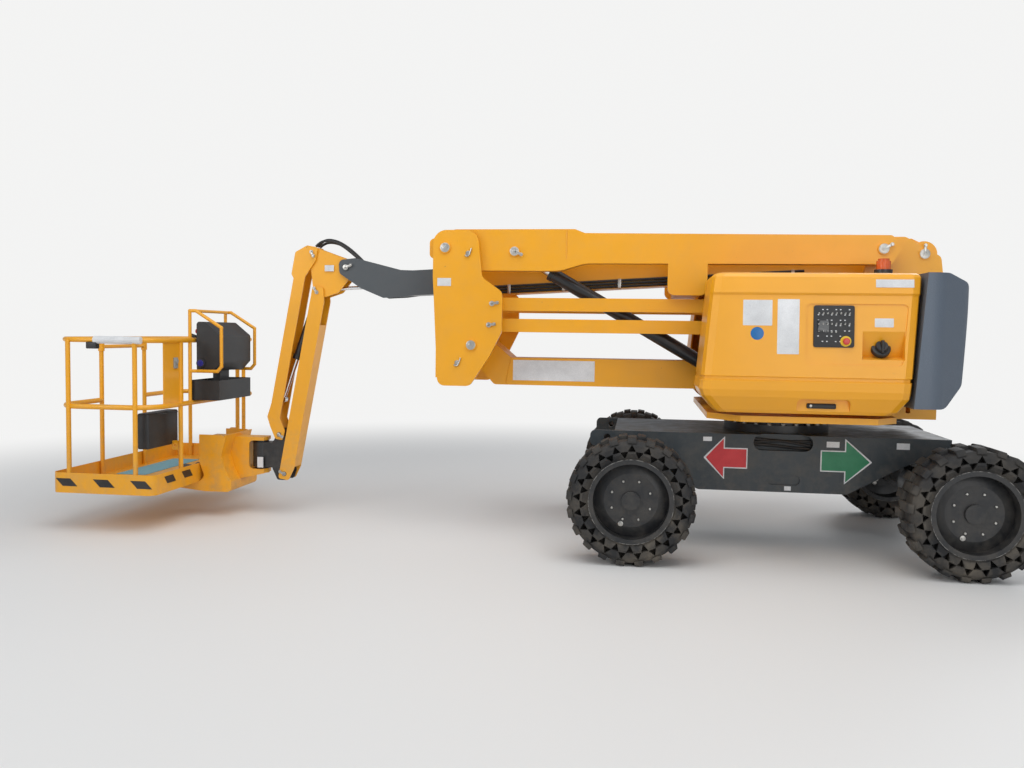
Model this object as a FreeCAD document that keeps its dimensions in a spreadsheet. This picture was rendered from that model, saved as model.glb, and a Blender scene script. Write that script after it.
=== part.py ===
import FreeCAD, Part
import Sketcher
import math
import os
import re

# Articulating boom lift: four wheels, a slewing turret, a folding pair of arms,
# a telescopic boom, a parallelogram jib and a work basket.
# X points to the basket, Y to the machine's left, Z up. The origin is on the
# ground under the middle of the parked machine. Millimetres and degrees.

doc = FreeCAD.newDocument("articulating_boom_lift")

# Every size by name. Heights are above the ground, and lengths along X are
# from the slew axis, unless the name says otherwise. A reach is forward and a
# rise upward from a piece's own pin, a back and a drop the other way.
size_table = {
    # shared fits
    "running_gap": 0.05,
    "seat_gap": 0.3,
    "face_gap": 0.3,
    "sink": 1,
    "past": 5,
    # wheels
    "wheel_base": 2100,
    "tyre_radius": 419,
    "tyre_width": 305,
    "tyre_outer_face": 1150,
    "tread_lugs": 21,
    "tread_root_radius": 396,
    "tread_half_width": 132,
    "lug_crossing": 15,
    "lug_land": 122,
    "lug_end_radius": 392,
    "lug_seat_radius": 360,
    "sidewall_radius": 365,
    "sidewall_inner_radius": 311,
    "bead_radius": 282,
    "bead_width": 250,
    "rim_radius": 254,
    "rim_flange_radius": 275,
    "rim_flange_thickness": 10,
    "rim_wall": 10,
    "rim_disc_inset": 85,
    "rim_disc_thickness": 14,
    "rim_dish_radius": 175,
    "rim_dish_depth": 22,
    "hub_radius": 92,
    "hub_length": 86,
    "hub_cap_radius": 60,
    "hub_cap_length": 20,
    "spindle_radius": 45,
    "spindle_length": 70,
    "spindle_end_gap": 2,
    # axles and steering
    "axle_radius": 68,
    "axle_half_length": 600,
    "diff_radius": 140,
    "diff_half_length": 100,
    "diff_taper_end": 210,
    "axle_end_radius": 105,
    "axle_end_overlap": 20,
    "axle_pad_half_length": 60,
    "rear_pad_inner": 240,
    "rear_pad_outer": 330,
    "front_pad_half_width": 110,
    "kingpin_place": 700,
    "kingpin_radius": 28,
    "knuckle_radius": 62,
    "knuckle_height": 250,
    "fork_thickness": 28,
    "fork_reach": 52,
    "fork_back_thickness": 45,
    # chassis
    "chassis_top": 810,
    "chassis_bottom": 412,
    "chassis_half_width": 490,
    "chassis_front_overhang": 130,
    "chassis_rear_overhang": 40,
    "chassis_end_bottom": 640,
    "chassis_belly_front": 450,
    "chassis_belly_rear": 630,
    "chassis_slope_start": 220,
    "chassis_corner": 55,
    "saddle_depth": 80,
    "saddle_half_length": 70,
    "slot_centre": 15,
    "slot_height": 755,
    "slot_length": 400,
    "slot_width": 110,
    "slot_depth": 60,
    "small_slot_centre": 6,
    "small_slot_height": 498,
    "small_slot_length": 222,
    "small_slot_width": 70,
    "small_slot_depth": 12,
    "lug_root": 20,
    "lug_tip": 302,
    "lug_height": 110,
    "lug_corner": 36,
    "lug_thickness": 25,
    "lug_hole_place": 182,
    "lug_hole_height": 762,
    "lug_hole_radius": 24,
    "slew_ring_radius": 340,
    "slew_ring_lower_radius": 375,
    "slew_ring_step": 55,
    # turret
    "turret_plate_bottom": 940,
    "turret_plate_thickness": 40,
    "turret_plate_front": 560,
    "turret_plate_rear": 640,
    "turret_plate_half_width": 960,
    "turret_front_corner": 200,
    "turret_rear_corner": 150,
    "tower_outer": 430,
    "tower_thickness": 28,
    "tower_front": 120,
    "tower_front_height": 1130,
    "tower_rear": 800,
    "tower_top": 1640,
    "tower_pin_front": 110,
    "tower_pin_rise": 90,
    "tower_top_back": 60,
    "tower_round": 70,
    "tail_rear": 1000,
    "tail_seat_front": 830,
    "counterweight_bottom": 1057,
    "counterweight_top": 1898,
    "counterweight_rear": 1034,
    "counterweight_shoulder": 860,
    "counterweight_rear_top": 1835,
    "counterweight_low_rear": 985,
    "counterweight_low_height": 1200,
    "counterweight_low_end": 860,
    "counterweight_round": 70,
    "counterweight_half_width": 1082,
    "counterweight_side_rear": 800,
    "counterweight_rear_half_width": 900,
    "counterweight_side_round": 150,
    "counterweight_inner": 460,
    "bridge_top": 1380,
    "bridge_depth": 120,
    # hoods
    "hood_inner": 505,
    "hood_outer": 1100,
    "hood_bottom": 1006,
    "hood_front": 640,
    "hood_rear": 710,
    "hood_wall": 12,
    "hood_corner": 60,
    "hood_corner_inset": 18,
    "hood_seam": 12,
    "hinge_rise": 6,
    "hinge_inset": 17,
    "hinge_pin_radius": 8,
    "hinge_ear_round": 15,
    "ear_length": 50,
    "ear_gap": 5,
    "ear_sink": 12,
    "front_post_place": 360,
    "rear_post_place": 500,
    "post_depth": 40,
    "post_inner": 20,
    "post_outer": 11,
    "panel_front": 10,
    "panel_rear": 620,
    "panel_bottom": 1321,
    "panel_top": 1701,
    "panel_round": 30,
    "panel_depth": 7,
    "scoop_front": 350,
    "scoop_rear": 600,
    "scoop_bottom": 1353,
    "scoop_shelf": 1375,
    "scoop_top": 1535,
    "scoop_depth": 88,
    "scoop_wall": 14,
    "grip_front": 28,
    "grip_rear": 295,
    "grip_top": 1103,
    "grip_inner": 1036,
    "grip_round": 30,
    "grip_wall": 12,
    "beacon_place": 567,
    "beacon_side": 640,
    "beacon_radius": 46,
    "beacon_dome_radius": 36,
    "beacon_height": 58,
    "beacon_dome_height": 16,
    "beacon_base_radius": 58,
    "beacon_base_height": 48,
    "engine_front": 380,
    "engine_rear": 520,
    "engine_inner": 565,
    "engine_outer": 980,
    "engine_height": 620,
    # arm pins
    "lower_arm_rear": 600,
    "lower_arm_pin_height": 1400,
    "lower_arm_length": 2828,
    "lower_tie_back": 129,
    "lower_tie_rise": 148,
    "upper_arm_pin": 2426,
    "upper_arm_pin_height": 2102,
    "upper_arm_length": 3046,
    "upper_tie_back": 348,
    "upper_tie_drop": 400,
    "boom_pin": 930,
    "boom_pin_height": 2081,
    "boom_slope": 3.3,
    "main_pin_radius": 40,
    "tie_pin_radius": 22,
    "pin_collar": 12,
    "small_pin_collar": 6,
    # lower arm and tie bars
    "lower_arm_half_width": 150,
    "lower_arm_top_drop": 95,
    "lower_arm_depth": 205,
    "arm_horn_rise": 64,
    "arm_horn_reach": 62,
    "arm_horn_root": 250,
    "arm_toe_reach": 78,
    "arm_toe_drop": 70,
    "arm_toe_back": 120,
    "arm_round": 45,
    "arm_boss_radius": 78,
    "arm_boss_half_length": 385,
    "tie_outer": 355,
    "tie_thickness": 44,
    "tie_depth": 96,
    "tie_eye_radius": 52,
    "tie_pin_gap": 6,
    # front knuckle
    "knuckle_plate_outer": 475,
    "knuckle_plate_thickness": 30,
    "knuckle_top_rise": 128,
    "knuckle_top_back": 236,
    "knuckle_front": 90,
    "knuckle_waist_drop": 210,
    "knuckle_toe_front": 248,
    "knuckle_toe_rear": 9,
    "knuckle_toe_drop": 299,
    "knuckle_heel_back": 138,
    "knuckle_heel_drop": 75,
    "knuckle_rear_back": 223,
    "knuckle_rear_low": 100,
    "knuckle_rear_high": 385,
    "knuckle_neck_back": 272,
    "knuckle_neck_drop": 212,
    "knuckle_top_round": 100,
    "knuckle_round": 55,
    "knuckle_web_reach": 64,
    "knuckle_web_thickness": 25,
    "knuckle_web_bottom": 1160,
    "knuckle_web_top": 1620,
    # upper arm
    "upper_beam_outer": 420,
    "upper_beam_width": 120,
    "upper_beam_top": 138,
    "upper_beam_bottom": 105,
    "upper_step_place": 934,
    "upper_step_length": 72,
    "upper_step_drop": 28,
    "upper_tail_drop": 45,
    "upper_tail_reach": 115,
    "upper_tail_slope": 60,
    "upper_tail_round": 35,
    "upper_head_bottom": 160,
    "upper_head_place": 830,
    "upper_head_slope": 180,
    "upper_head_start": 60,
    "upper_head_end_radius": 128,
    "upper_curve": 320,
    "saddle_place": 1596,
    "saddle_leg_length": 275,
    "saddle_leg_thickness": 55,
    "saddle_leg_top": 90,
    "saddle_drop": 327,
    "saddle_plate_thickness": 57,
    "saddle_plate_inset": 48,
    "saddle_round": 50,
    "lift_boss_place": 500,
    "lift_boss_drop": 21,
    "lift_boss_radius": 38,
    "lift_boss_length": 30,
    # rear knuckle
    "rear_plate_outer": 275,
    "rear_plate_thickness": 25,
    "rear_top_front": 370,
    "rear_top_rise": 118,
    "rear_top_back": 130,
    "rear_peak_rise": 110,
    "rear_shoulder_back": 135,
    "rear_shoulder_drop": 20,
    "rear_hip_drop": 210,
    "rear_foot_back": 85,
    "rear_foot_drop": 75,
    "rear_foot_front": 80,
    "rear_foot_rise": 60,
    "rear_belly_front": 400,
    "rear_belly_drop": 130,
    "rear_round": 45,
    # telescopic boom
    "outer_boom_length": 3500,
    "outer_boom_height": 250,
    "outer_boom_width": 230,
    "outer_boom_wall": 10,
    "outer_boom_edge": 16,
    "boom_tail_back": 75,
    "boom_tail_rise": 60,
    "boom_tail_slope": 40,
    "boom_boss_radius": 90,
    "boom_cavity_back": 200,
    "wear_ring_length": 80,
    "inner_boom_front": 3790,
    "inner_boom_rear": 700,
    "inner_boom_height": 192,
    "inner_boom_width": 178,
    "inner_boom_wall": 8,
    "clevis_place": 1342,
    "clevis_drop": 164,
    "clevis_plate": 20,
    "clevis_gap": 6,
    "clevis_root": 90,
    "clevis_margin": 34,
    "clevis_round": 30,
    # boom head
    "head_pin_reach": 4229.5,
    "head_pin_rise": 147.7,
    "boom_head_plate": 18,
    "head_root": 3600,
    "head_root_half_height": 88,
    "head_cheek_half_height": 104,
    "head_top_back": 80,
    "head_top_rise": 68,
    "head_nose": 56,
    "head_nose_rise": 60,
    "head_nose_drop": 42,
    "head_throat_back": 110,
    "head_throat_drop": 168,
    "head_belly_reach": 3943,
    "head_round": 40,
    "level_pin_reach": 3636.7,
    "level_pin_drop": 11.7,
    # jib head and jib
    "jib_reach": 285,
    "jib_rise": 120,
    "jib_tie_back": 44,
    "jib_tie_drop": 315,
    "jib_length": 1474,
    "jib_lean": 10.5,
    "jib_pin_radius": 18,
    "jib_head_outer": 60,
    "jib_head_plate": 15,
    "jib_head_top": 32,
    "jib_head_front": 38,
    "jib_head_waist": 14,
    "jib_head_waist_drop": 105,
    "jib_head_toe_drop": 37,
    "jib_head_toe_reach": 30,
    "jib_head_toe_back": 62,
    "jib_head_back": 44,
    "jib_head_shoulder": 50,
    "jib_head_heel_drop": 60,
    "jib_head_heel_back": 37,
    "jib_head_belly_drop": 195,
    "jib_head_belly_reach": 69,
    "jib_head_round": 24,
    "jib_head_boss_radius": 40,
    "jib_head_web_start": 49,
    "jib_head_web_end": 184,
    "jib_head_web_rise": 50,
    "jib_head_web_slope": 53,
    "jib_head_web_thickness": 17,
    "jib_bar_outer": 78,
    "jib_bar_plate": 12,
    "jib_stub_end": 4,
    "jib_eye_reach": 45,
    "arm_crank_rise": 131,
    "arm_crank_reach": 25,
    "arm_crank_end": 230,
    "arm_back_rise": 108,
    "arm_front_rise": 17,
    "arm_front_start": 200,
    "arm_nose_drop": 44,
    "arm_nose_reach": 60,
    "arm_foot_start": 234,
    "arm_foot_place": 120,
    "arm_foot_rise": 122,
    "arm_foot_taper": 50,
    "arm_foot_shoulder": 85,
    "arm_foot_drop": 40,
    "arm_foot_front": 127,
    "jib_bar_round": 20,
    "arm_web_start": 60,
    "arm_web_end": 180,
    "jib_web_thickness": 12,
    "tie_bar_rise": 43,
    "tie_bar_drop": 71,
    "tie_bar_taper": 60,
    "tie_web_start": 250,
    "tie_web_end": 70,
    "jib_cylinder_back": 65,
    "jib_cylinder_drop": 241,
    # foot, rotator and basket
    "rotator_reach": 175.4,
    "rotator_bottom": 371,
    "rotator_top": 600,
    "rotator_radius": 70,
    "rotator_cap_radius": 56,
    "rotator_cap_height": 16,
    "foot_top_rise": 40,
    "foot_top_reach": 25,
    "foot_front_drop": 40,
    "foot_front_reach": 44,
    "foot_arm_drop": 14,
    "foot_low_drop": 368,
    "foot_low_reach": 20,
    "foot_low_back": 75,
    "foot_back": 95,
    "foot_back_drop": 300,
    "foot_waist_back": 62,
    "foot_waist_drop": 100,
    "foot_round": 22,
    "foot_block_back": 110,
    "fork_half_width": 70,
    "fork_plate": 12,
    "fork_top": 628,
    "fork_bottom": 336,
    "fork_mouth": 45,
    "fork_throat": 80,
    "fork_end": 264,
    "fork_low_drop": 72,
    "fork_throat_round": 34,
    "blade_radius": 60,
    "mount_half_width": 240,
    "mount_plate": 12,
    "mount_top": 655,
    "mount_column": 226,
    "mount_waist": 183,
    "mount_waist_height": 488,
    "mount_flare": 219,
    "mount_flare_height": 373,
    "mount_skirt": 268,
    "mount_skirt_height": 290,
    "mount_bottom": 205,
    "mount_under": 250,
    "mount_under_bottom": 236,
    "mount_notch": 45,
    "mount_notch_height": 325,
    "mount_notch_top": 440,
    "mount_round": 40,
    "basket_reach": 420,
    "basket_depth": 800,
    "basket_half_width": 915,
    "basket_floor": 318,
    "toe_board_top": 430,
    "toe_board_bottom": 282,
    "toe_board_thickness": 2,
    "basket_corner": 60,
    "rail_radius": 19,
    "rail_top": 1400,
    "mid_rail_height": 915,
    "rail_corner_radius": 200,
    "post_radius": 17,
    "end_post_front": 670,
    "end_post_rear": 150,
    "gate_post": 310,
    "back_post": 490,
    "back_plate_inner": 450,
    "back_plate_outer": 740,
    "back_plate_thickness": 5,
    "anchor_height": 600,
    "anchor_reach": 74,
    "anchor_half_height": 36,
    "anchor_thickness": 10,
    "anchor_hole_place": 46,
    "anchor_hole_radius": 11,
    "anchor_round": 20,
    # hoops, console and tray
    "hoop_left": 340,
    "hoop_right": 265,
    "hoop_radius": 13,
    "hoop_top": 1628,
    "hoop_top_reach": 50,
    "hoop_shoulder_reach": 258,
    "hoop_shoulder": 1500,
    "hoop_foot_reach": 225,
    "hoop_knee": 1200,
    "hoop_bottom": 1162,
    "weld_bulge": 0.6,
    "console_gap": 30,
    "console_front": 20,
    "console_top": 1545,
    "console_top_reach": 85,
    "console_reach": 215,
    "console_shoulder": 1440,
    "console_knee": 1230,
    "console_bottom": 1160,
    "console_foot_reach": 150,
    "console_round": 25,
    "tray_top": 1090,
    "tray_reach": 210,
    "tray_front": 30,
    "tray_wall": 5,
    "tray_side_gap": 20,
    "console_leg_rear": 100,
    "console_leg_front": 40,
    "console_leg_half_width": 80,
    # entry bar
    "bar_sleeve_radius": 24,
    "bar_sleeve_height": 70,
    "bar_radius": 15,
    "bar_drop": 62,
    "bar_end_gap": 3,
    # cylinders
    "lift_barrel_place": 950,
    "lift_barrel_drop": 230,
    "lift_rise": 30,
    "lift_length": 1820,
    "lift_barrel_length": 1540,
    "lift_outer": 285,
    "lift_width": 100,
    "lift_side_gap": 5,
    "lift_barrel_radius": 50,
    "lift_rod_radius": 30,
    "lift_rod_start": 180,
    "lift_pin_radius": 25,
    "lift_pin_end": 8,
    "lift_eye_radius": 46,
    "gland_length": 34,
    "gland_rim": 5,
    "bore_floor": 8,
    "boom_cylinder_place": 800,
    "boom_cylinder_height": 1500,
    "boom_cylinder_turn": 15.82,
    "boom_cylinder_length": 1247,
    "boom_barrel_length": 980,
    "boom_barrel_radius": 45,
    "boom_rod_radius": 26,
    "boom_rod_start": 120,
    "boom_eye_width": 56,
    "level_length": 699,
    "level_turn": -3.1,
    "level_barrel_length": 420,
    "level_barrel_radius": 26,
    "level_rod_radius": 14,
    "level_rod_start": 280,
    "level_eye_radius": 27,
    "level_eye_width": 50,
    "level_pin_radius": 16,
    "jib_cylinder_turn": -70.6,
    "jib_cylinder_length": 987,
    "jib_barrel_length": 640,
    "jib_barrel_radius": 34,
    "jib_rod_radius": 18,
    "jib_rod_start": 80,
    "jib_eye_radius": 28,
    "jib_eye_width": 56,
}

# The hoods' outside, from the hem to the crown. Rise is from the level below,
# and the insets are from the hood's own front, rear and outer side.
hood_levels = [
    # level, rise, front inset, rear inset, side inset
    ("hem", 0, 120, 148, 80),
    ("belly", 22, 92, 108, 62),
    ("belt_low", 84, 22, 55, 14),
    ("belt", 43, 6, 52, 3),
    ("crease_low", 59, 12, 48, 0),
    ("crease_in", 5, 19, 54, 7),
    ("crease_out", 18, 21, 53, 7),
    ("crease_top", 5, 16, 46, 0),
    ("shoulder_low", 511, 62, 13, 42),
    ("shoulder", 15, 63, 11, 31),
    ("shoulder_top", 100, 74, 6, 42),
    ("crown_low", 18, 88, 10, 58),
    ("crown", 10, 114, 20, 84),
]
for level, rise, front_inset, rear_inset, side_inset in hood_levels:
    size_table["%s_rise" % level] = rise
    size_table["%s_front" % level] = front_inset
    size_table["%s_rear" % level] = rear_inset
    size_table["%s_side" % level] = side_inset

sizes = doc.addObject("Spreadsheet::Sheet", "Sizes")
for row, (word, number) in enumerate(size_table.items(), start=1):
    sizes.set("A%d" % row, word)
    sizes.set("B%d" % row, str(number))
    sizes.setAlias("B%d" % row, word)
doc.recompute()


def cell(text):
    """Write each size's name in a formula as its cell of the sheet."""
    return re.sub(r"[a-z][a-z_0-9]*", lambda word: "Sizes." + word.group() if word.group() in size_table
                  else word.group(), text)


def bind(thing, path, text):
    thing.setExpression(path, cell(text))


# How a drawing plane lies: side is X and Z seen from the right, and grows
# towards -Y; floor is X and Y, and grows up; front is Y and Z, and grows to +X.
plane_turn = {
    "side": FreeCAD.Rotation(FreeCAD.Vector(1, 0, 0), 90),
    "floor": FreeCAD.Rotation(),
    "front": FreeCAD.Rotation(FreeCAD.Vector(1, 1, 1), 120),
}
plane_depth = {"side": "y", "floor": "z", "front": "x"}
plane_axes = {"side": "xz", "floor": "xy", "front": "yz"}
same_place = 0.01


def outline(name, corners, plane, start):
    """A closed line through corners, drawn on a plane at its start."""
    sketch = doc.addObject("Sketcher::SketchObject", name)
    count = len(corners)
    rough = [FreeCAD.Vector(math.cos(2 * math.pi * i / count), math.sin(2 * math.pi * i / count), 0) * 1000
             for i in range(count)]
    for i in range(count):
        sketch.addGeometry(Part.LineSegment(rough[i], rough[(i + 1) % count]), False)
    for i in range(count):
        sketch.addConstraint(Sketcher.Constraint("Coincident", i, 2, (i + 1) % count, 1))
    for i, (across, up) in enumerate(corners):
        place = sketch.addConstraint(Sketcher.Constraint("DistanceX", -1, 1, i, 1, rough[i].x))
        bind(sketch, "Constraints[%d]" % place, across)
        place = sketch.addConstraint(Sketcher.Constraint("DistanceY", -1, 1, i, 1, rough[i].y))
        bind(sketch, "Constraints[%d]" % place, up)
    sketch.Placement = FreeCAD.Placement(FreeCAD.Vector(), plane_turn[plane])
    bind(sketch, "Placement.Base." + plane_depth[plane], start)
    return sketch


def slab(name, corners, plane, start, depth):
    """A plate of the outline's shape, from start through depth."""
    thing = doc.addObject("Part::Extrusion", name)
    thing.Base = outline(name + "_outline", corners, plane, start)
    thing.DirMode = "Normal"
    thing.Solid = True
    bind(thing, "LengthFwd", depth)
    return thing


def plate(name, corners, plane, start, depth, rounds):
    """A flat piece with rounded corners. Rounds names each radius and its corners."""
    body = doc.addObject("PartDesign::Body", name)
    sketch = outline(name + "_outline", corners, plane, start)
    body.addObject(sketch)
    tip = body.newObject("PartDesign::Pad", name + "_pad")
    tip.Profile = sketch
    bind(tip, "Length", depth)
    doc.recompute()
    along = sketch.Placement.Rotation.multVec(FreeCAD.Vector(0, 0, 1))
    for radius, chosen in rounds:
        places = [sketch.Placement.multVec(sketch.getPoint(corner, 1)) for corner in chosen]
        edges = []
        for number, edge in enumerate(tip.Shape.Edges, start=1):
            ends = [vertex.Point for vertex in edge.Vertexes]
            for place in places:
                if len(ends) == 2 and all((end - place).cross(along).Length < same_place for end in ends):
                    edges.append("Edge%d" % number)
        fillet = body.newObject("PartDesign::Fillet", name + "_" + radius)
        fillet.Base = (tip, edges)
        bind(fillet, "Radius", radius)
        doc.recompute()
        tip = fillet
    return body


def disc(name, plane, centre, radius, start, depth):
    """A round bar across a plane."""
    thing = doc.addObject("Part::Cylinder", name)
    thing.Placement = FreeCAD.Placement(FreeCAD.Vector(), plane_turn[plane])
    bind(thing, "Radius", radius)
    bind(thing, "Height", depth)
    bind(thing, "Placement.Base." + plane_depth[plane], start)
    for axis, text in zip(plane_axes[plane], centre):
        bind(thing, "Placement.Base." + axis, text)
    return thing


def block(name, low, high):
    """A box between two corners."""
    thing = doc.addObject("Part::Box", name)
    for side, axis, start, end in zip(("Length", "Width", "Height"), "xyz", low, high):
        bind(thing, side, "(%s) - (%s)" % (end, start))
        bind(thing, "Placement.Base." + axis, start)
    return thing


def fuse(name, things):
    thing = doc.addObject("Part::MultiFuse", name)
    thing.Shapes = things
    thing.Refine = True
    return thing


def common(name, things):
    """What the pieces share."""
    thing = doc.addObject("Part::MultiCommon", name)
    thing.Shapes = things
    thing.Refine = True
    return thing


def cut(name, base, tools):
    thing = doc.addObject("Part::Cut", name)
    thing.Base = base
    thing.Tool = tools[0] if len(tools) == 1 else fuse(name + "_tools", tools)
    thing.Refine = True
    return thing


def mirrored(name, source):
    """The same piece on the machine's other side."""
    thing = doc.addObject("Part::Mirroring", name)
    thing.Source = source
    thing.Normal = FreeCAD.Vector(0, 1, 0)
    return thing


def both(name, source):
    return [source, mirrored(name + "_right", source)]


def turned(name, corners):
    """A body of revolution about Y, from its outline of (radius, place along Y)."""
    thing = doc.addObject("Part::Revolution", name)
    thing.Source = outline(name + "_outline", corners, "floor", "0")
    thing.Axis = FreeCAD.Vector(0, 1, 0)
    thing.Base = FreeCAD.Vector()
    thing.Angle = 360
    thing.Solid = True
    return thing


def placed(name, thing, place, turn="0"):
    """A copy at a place, turned about Y by degrees that raise its front end."""
    copy = doc.addObject("Part::Compound", name)
    copy.Links = [thing]
    copy.Placement = FreeCAD.Placement(FreeCAD.Vector(), FreeCAD.Rotation(FreeCAD.Vector(0, -1, 0), 1))
    bind(copy, "Placement.Rotation.Angle", turn)
    for axis, text in zip("xyz", place):
        bind(copy, "Placement.Base." + axis, text)
    return copy


def lofted(name, sections):
    thing = doc.addObject("Part::Loft", name)
    thing.Sections = sections
    thing.Solid = True
    thing.Ruled = True
    return thing


# Places that follow from the sizes, each named once
chassis_front = "(wheel_base / 2 + chassis_front_overhang)"
chassis_rear = "(wheel_base / 2 + chassis_rear_overhang)"
axle_height = "(tyre_radius * cos(180 deg / (2 * tread_lugs)))"
boom_cos = "cos(boom_slope * 1 deg)"
boom_sin = "sin(boom_slope * 1 deg)"
head_x = "(head_pin_reach * %s + head_pin_rise * %s - boom_pin)" % (boom_cos, boom_sin)
head_z = "(boom_pin_height - head_pin_reach * %s + head_pin_rise * %s)" % (boom_sin, boom_cos)
level_x = "(level_pin_reach * %s - level_pin_drop * %s - boom_pin)" % (boom_cos, boom_sin)
level_z = "(boom_pin_height - level_pin_reach * %s - level_pin_drop * %s)" % (boom_sin, boom_cos)
jib_top_x = "(%s + jib_reach)" % head_x
jib_top_z = "(%s + jib_rise)" % head_z
jib_tie_x = "(%s - jib_tie_back)" % jib_top_x
jib_tie_z = "(%s - jib_tie_drop)" % jib_top_z
foot_x = "(%s + jib_length * sin(jib_lean * 1 deg))" % jib_top_x
foot_z = "(%s - jib_length * cos(jib_lean * 1 deg))" % jib_top_z
rotator_x = "(%s + rotator_reach)" % foot_x
basket_back = "(%s + basket_reach)" % rotator_x
basket_front = "(%s + basket_depth)" % basket_back
hood_rises = {}
height = "hood_bottom"
for level, *insets in hood_levels:
    height += " + %s_rise" % level
    hood_rises[level] = "(%s)" % height
hood_top = hood_rises["crown"]
hinge_height = "(%s + hinge_rise)" % hood_top
frame_shift = "((wheel_base / 2 + tyre_radius - %s) / 2)" % basket_front
wheel_middle = "(tyre_outer_face - tyre_width / 2)"

nodes = {}


def sub_part(label, things, place=("0", "0", "0"), turn="0", solids=1):
    """One named piece, built about its own pin and put in its place."""
    if solids == 1 and len(things) > 1:
        thing = fuse(label + "_node", things)
    else:
        thing = doc.addObject("Part::Compound", label + "_node")
        thing.Links = things
    thing.Label = label
    thing.Placement = FreeCAD.Placement(FreeCAD.Vector(), FreeCAD.Rotation(FreeCAD.Vector(0, -1, 0), 1))
    bind(thing, "Placement.Rotation.Angle", turn)
    bind(thing, "Placement.Base.x", frame_shift + " + " + place[0])
    bind(thing, "Placement.Base.y", place[1])
    bind(thing, "Placement.Base.z", place[2])
    nodes[label] = (thing, solids)
    return thing


# Chassis: a deep welded box between the wheels, cut up at both ends over the
# axles, with a slot in each side and a towing lug at each front corner.
chassis_box = plate("chassis_box", [
    (chassis_front, "chassis_top"), ("-" + chassis_rear, "chassis_top"),
    ("-" + chassis_rear, "chassis_end_bottom"),
    ("-wheel_base / 2 + chassis_slope_start", "chassis_end_bottom"),
    ("-wheel_base / 2 + chassis_belly_rear", "chassis_bottom"),
    ("wheel_base / 2 - chassis_belly_front", "chassis_bottom"),
    ("wheel_base / 2 - chassis_slope_start", "chassis_end_bottom"), (chassis_front, "chassis_end_bottom"),
], "side", "chassis_half_width", "2 * chassis_half_width", [("chassis_corner", (3, 4, 5, 6))])


def slot(name, centre, height, length, width, depth, start):
    """A round-ended slot in a side of the chassis."""
    run = "(%s - %s) / 2" % (length, width)
    return [
        block(name + "_middle", ("%s - %s" % (centre, run), "%s - %s" % (start, depth),
                                 "%s - %s / 2" % (height, width)),
              ("%s + %s" % (centre, run), start, "%s + %s / 2" % (height, width))),
        disc(name + "_front", "side", ("%s + %s" % (centre, run), height), width + " / 2", start, depth),
        disc(name + "_rear", "side", ("%s - %s" % (centre, run), height), width + " / 2", start, depth),
    ]


slots = []
for side, large, small in (("left", "chassis_half_width", "chassis_half_width"),
                           ("right", "(slot_depth - chassis_half_width)",
                            "(small_slot_depth - chassis_half_width)")):
    slots += slot("slot_" + side, "slot_centre", "slot_height", "slot_length", "slot_width", "slot_depth",
                  large)
    slots += slot("small_slot_" + side, "small_slot_centre", "small_slot_height", "small_slot_length",
                  "small_slot_width", "small_slot_depth", small)
lug = plate("lug", [
    (chassis_front + " - lug_root", "chassis_top"),
    (chassis_front + " - lug_root", "chassis_top - lug_height"),
    ("wheel_base / 2 + lug_tip", "chassis_top - lug_height"), ("wheel_base / 2 + lug_tip", "chassis_top"),
], "side", "chassis_half_width", "lug_thickness", [("lug_corner", (2, 3))])
lug_hole = disc("lug_hole", "side", ("wheel_base / 2 + lug_hole_place", "lug_hole_height"),
                "lug_hole_radius",
                "chassis_half_width + past", "lug_thickness + 2 * past")
pad_top = "(chassis_end_bottom - saddle_depth)"
axle_saddles = [
    block("saddle_rear", ("-" + chassis_rear, "-rear_pad_outer", pad_top),
          ("-wheel_base / 2 + saddle_half_length", "rear_pad_outer", "chassis_end_bottom")),
    block("saddle_front", ("wheel_base / 2 - saddle_half_length", "-front_pad_half_width", pad_top),
          ("wheel_base / 2 + saddle_half_length", "front_pad_half_width", "chassis_end_bottom")),
]
sub_part("chassis_frame", [cut("chassis_hollowed", chassis_box, slots)] + axle_saddles
         + both("lug_pair", cut("lug_drilled", lug, [lug_hole])))

sub_part("slew_ring", [
    disc("ring_lower", "floor", ("0", "0"), "slew_ring_lower_radius", "chassis_top", "slew_ring_step"),
    disc("ring_upper", "floor", ("0", "0"), "slew_ring_radius", "chassis_top",
         "turret_plate_bottom - face_gap - chassis_top"),
])

# Axles: a tapered housing with the differential in its middle. The rear one
# carries the hub reductions, and the front one a fork and kingpin at each end.
hub_face = "(tyre_outer_face - rim_disc_inset - rim_disc_thickness - hub_length - face_gap)"
axle_beam = turned("axle_beam", [
    ("0", "-axle_half_length"), ("axle_radius", "-axle_half_length"), ("axle_radius", "-diff_taper_end"),
    ("diff_radius", "-diff_half_length"), ("diff_radius", "diff_half_length"),
    ("axle_radius", "diff_taper_end"),
    ("axle_radius", "axle_half_length"), ("0", "axle_half_length"),
])
rear_place = ("-wheel_base / 2", "0", axle_height)
front_place = ("wheel_base / 2", "0", axle_height)
rear_pad = block("rear_pad", ("-wheel_base / 2 - axle_pad_half_length", "rear_pad_inner", axle_height),
                 ("-wheel_base / 2 + axle_pad_half_length", "rear_pad_outer", pad_top))
front_pad = block("front_pad", ("wheel_base / 2 - axle_pad_half_length", "-front_pad_half_width",
                                axle_height),
                  ("wheel_base / 2 + axle_pad_half_length", "front_pad_half_width", pad_top))
hub_reduction = disc("hub_reduction", "side", (rear_place[0], axle_height), "axle_end_radius",
                     hub_face, hub_face + " - axle_half_length + axle_end_overlap")
rear_spindle = disc("rear_spindle", "side", (rear_place[0], axle_height), "spindle_radius",
                    hub_face + " + spindle_length", "spindle_length + axle_end_overlap")
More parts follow.
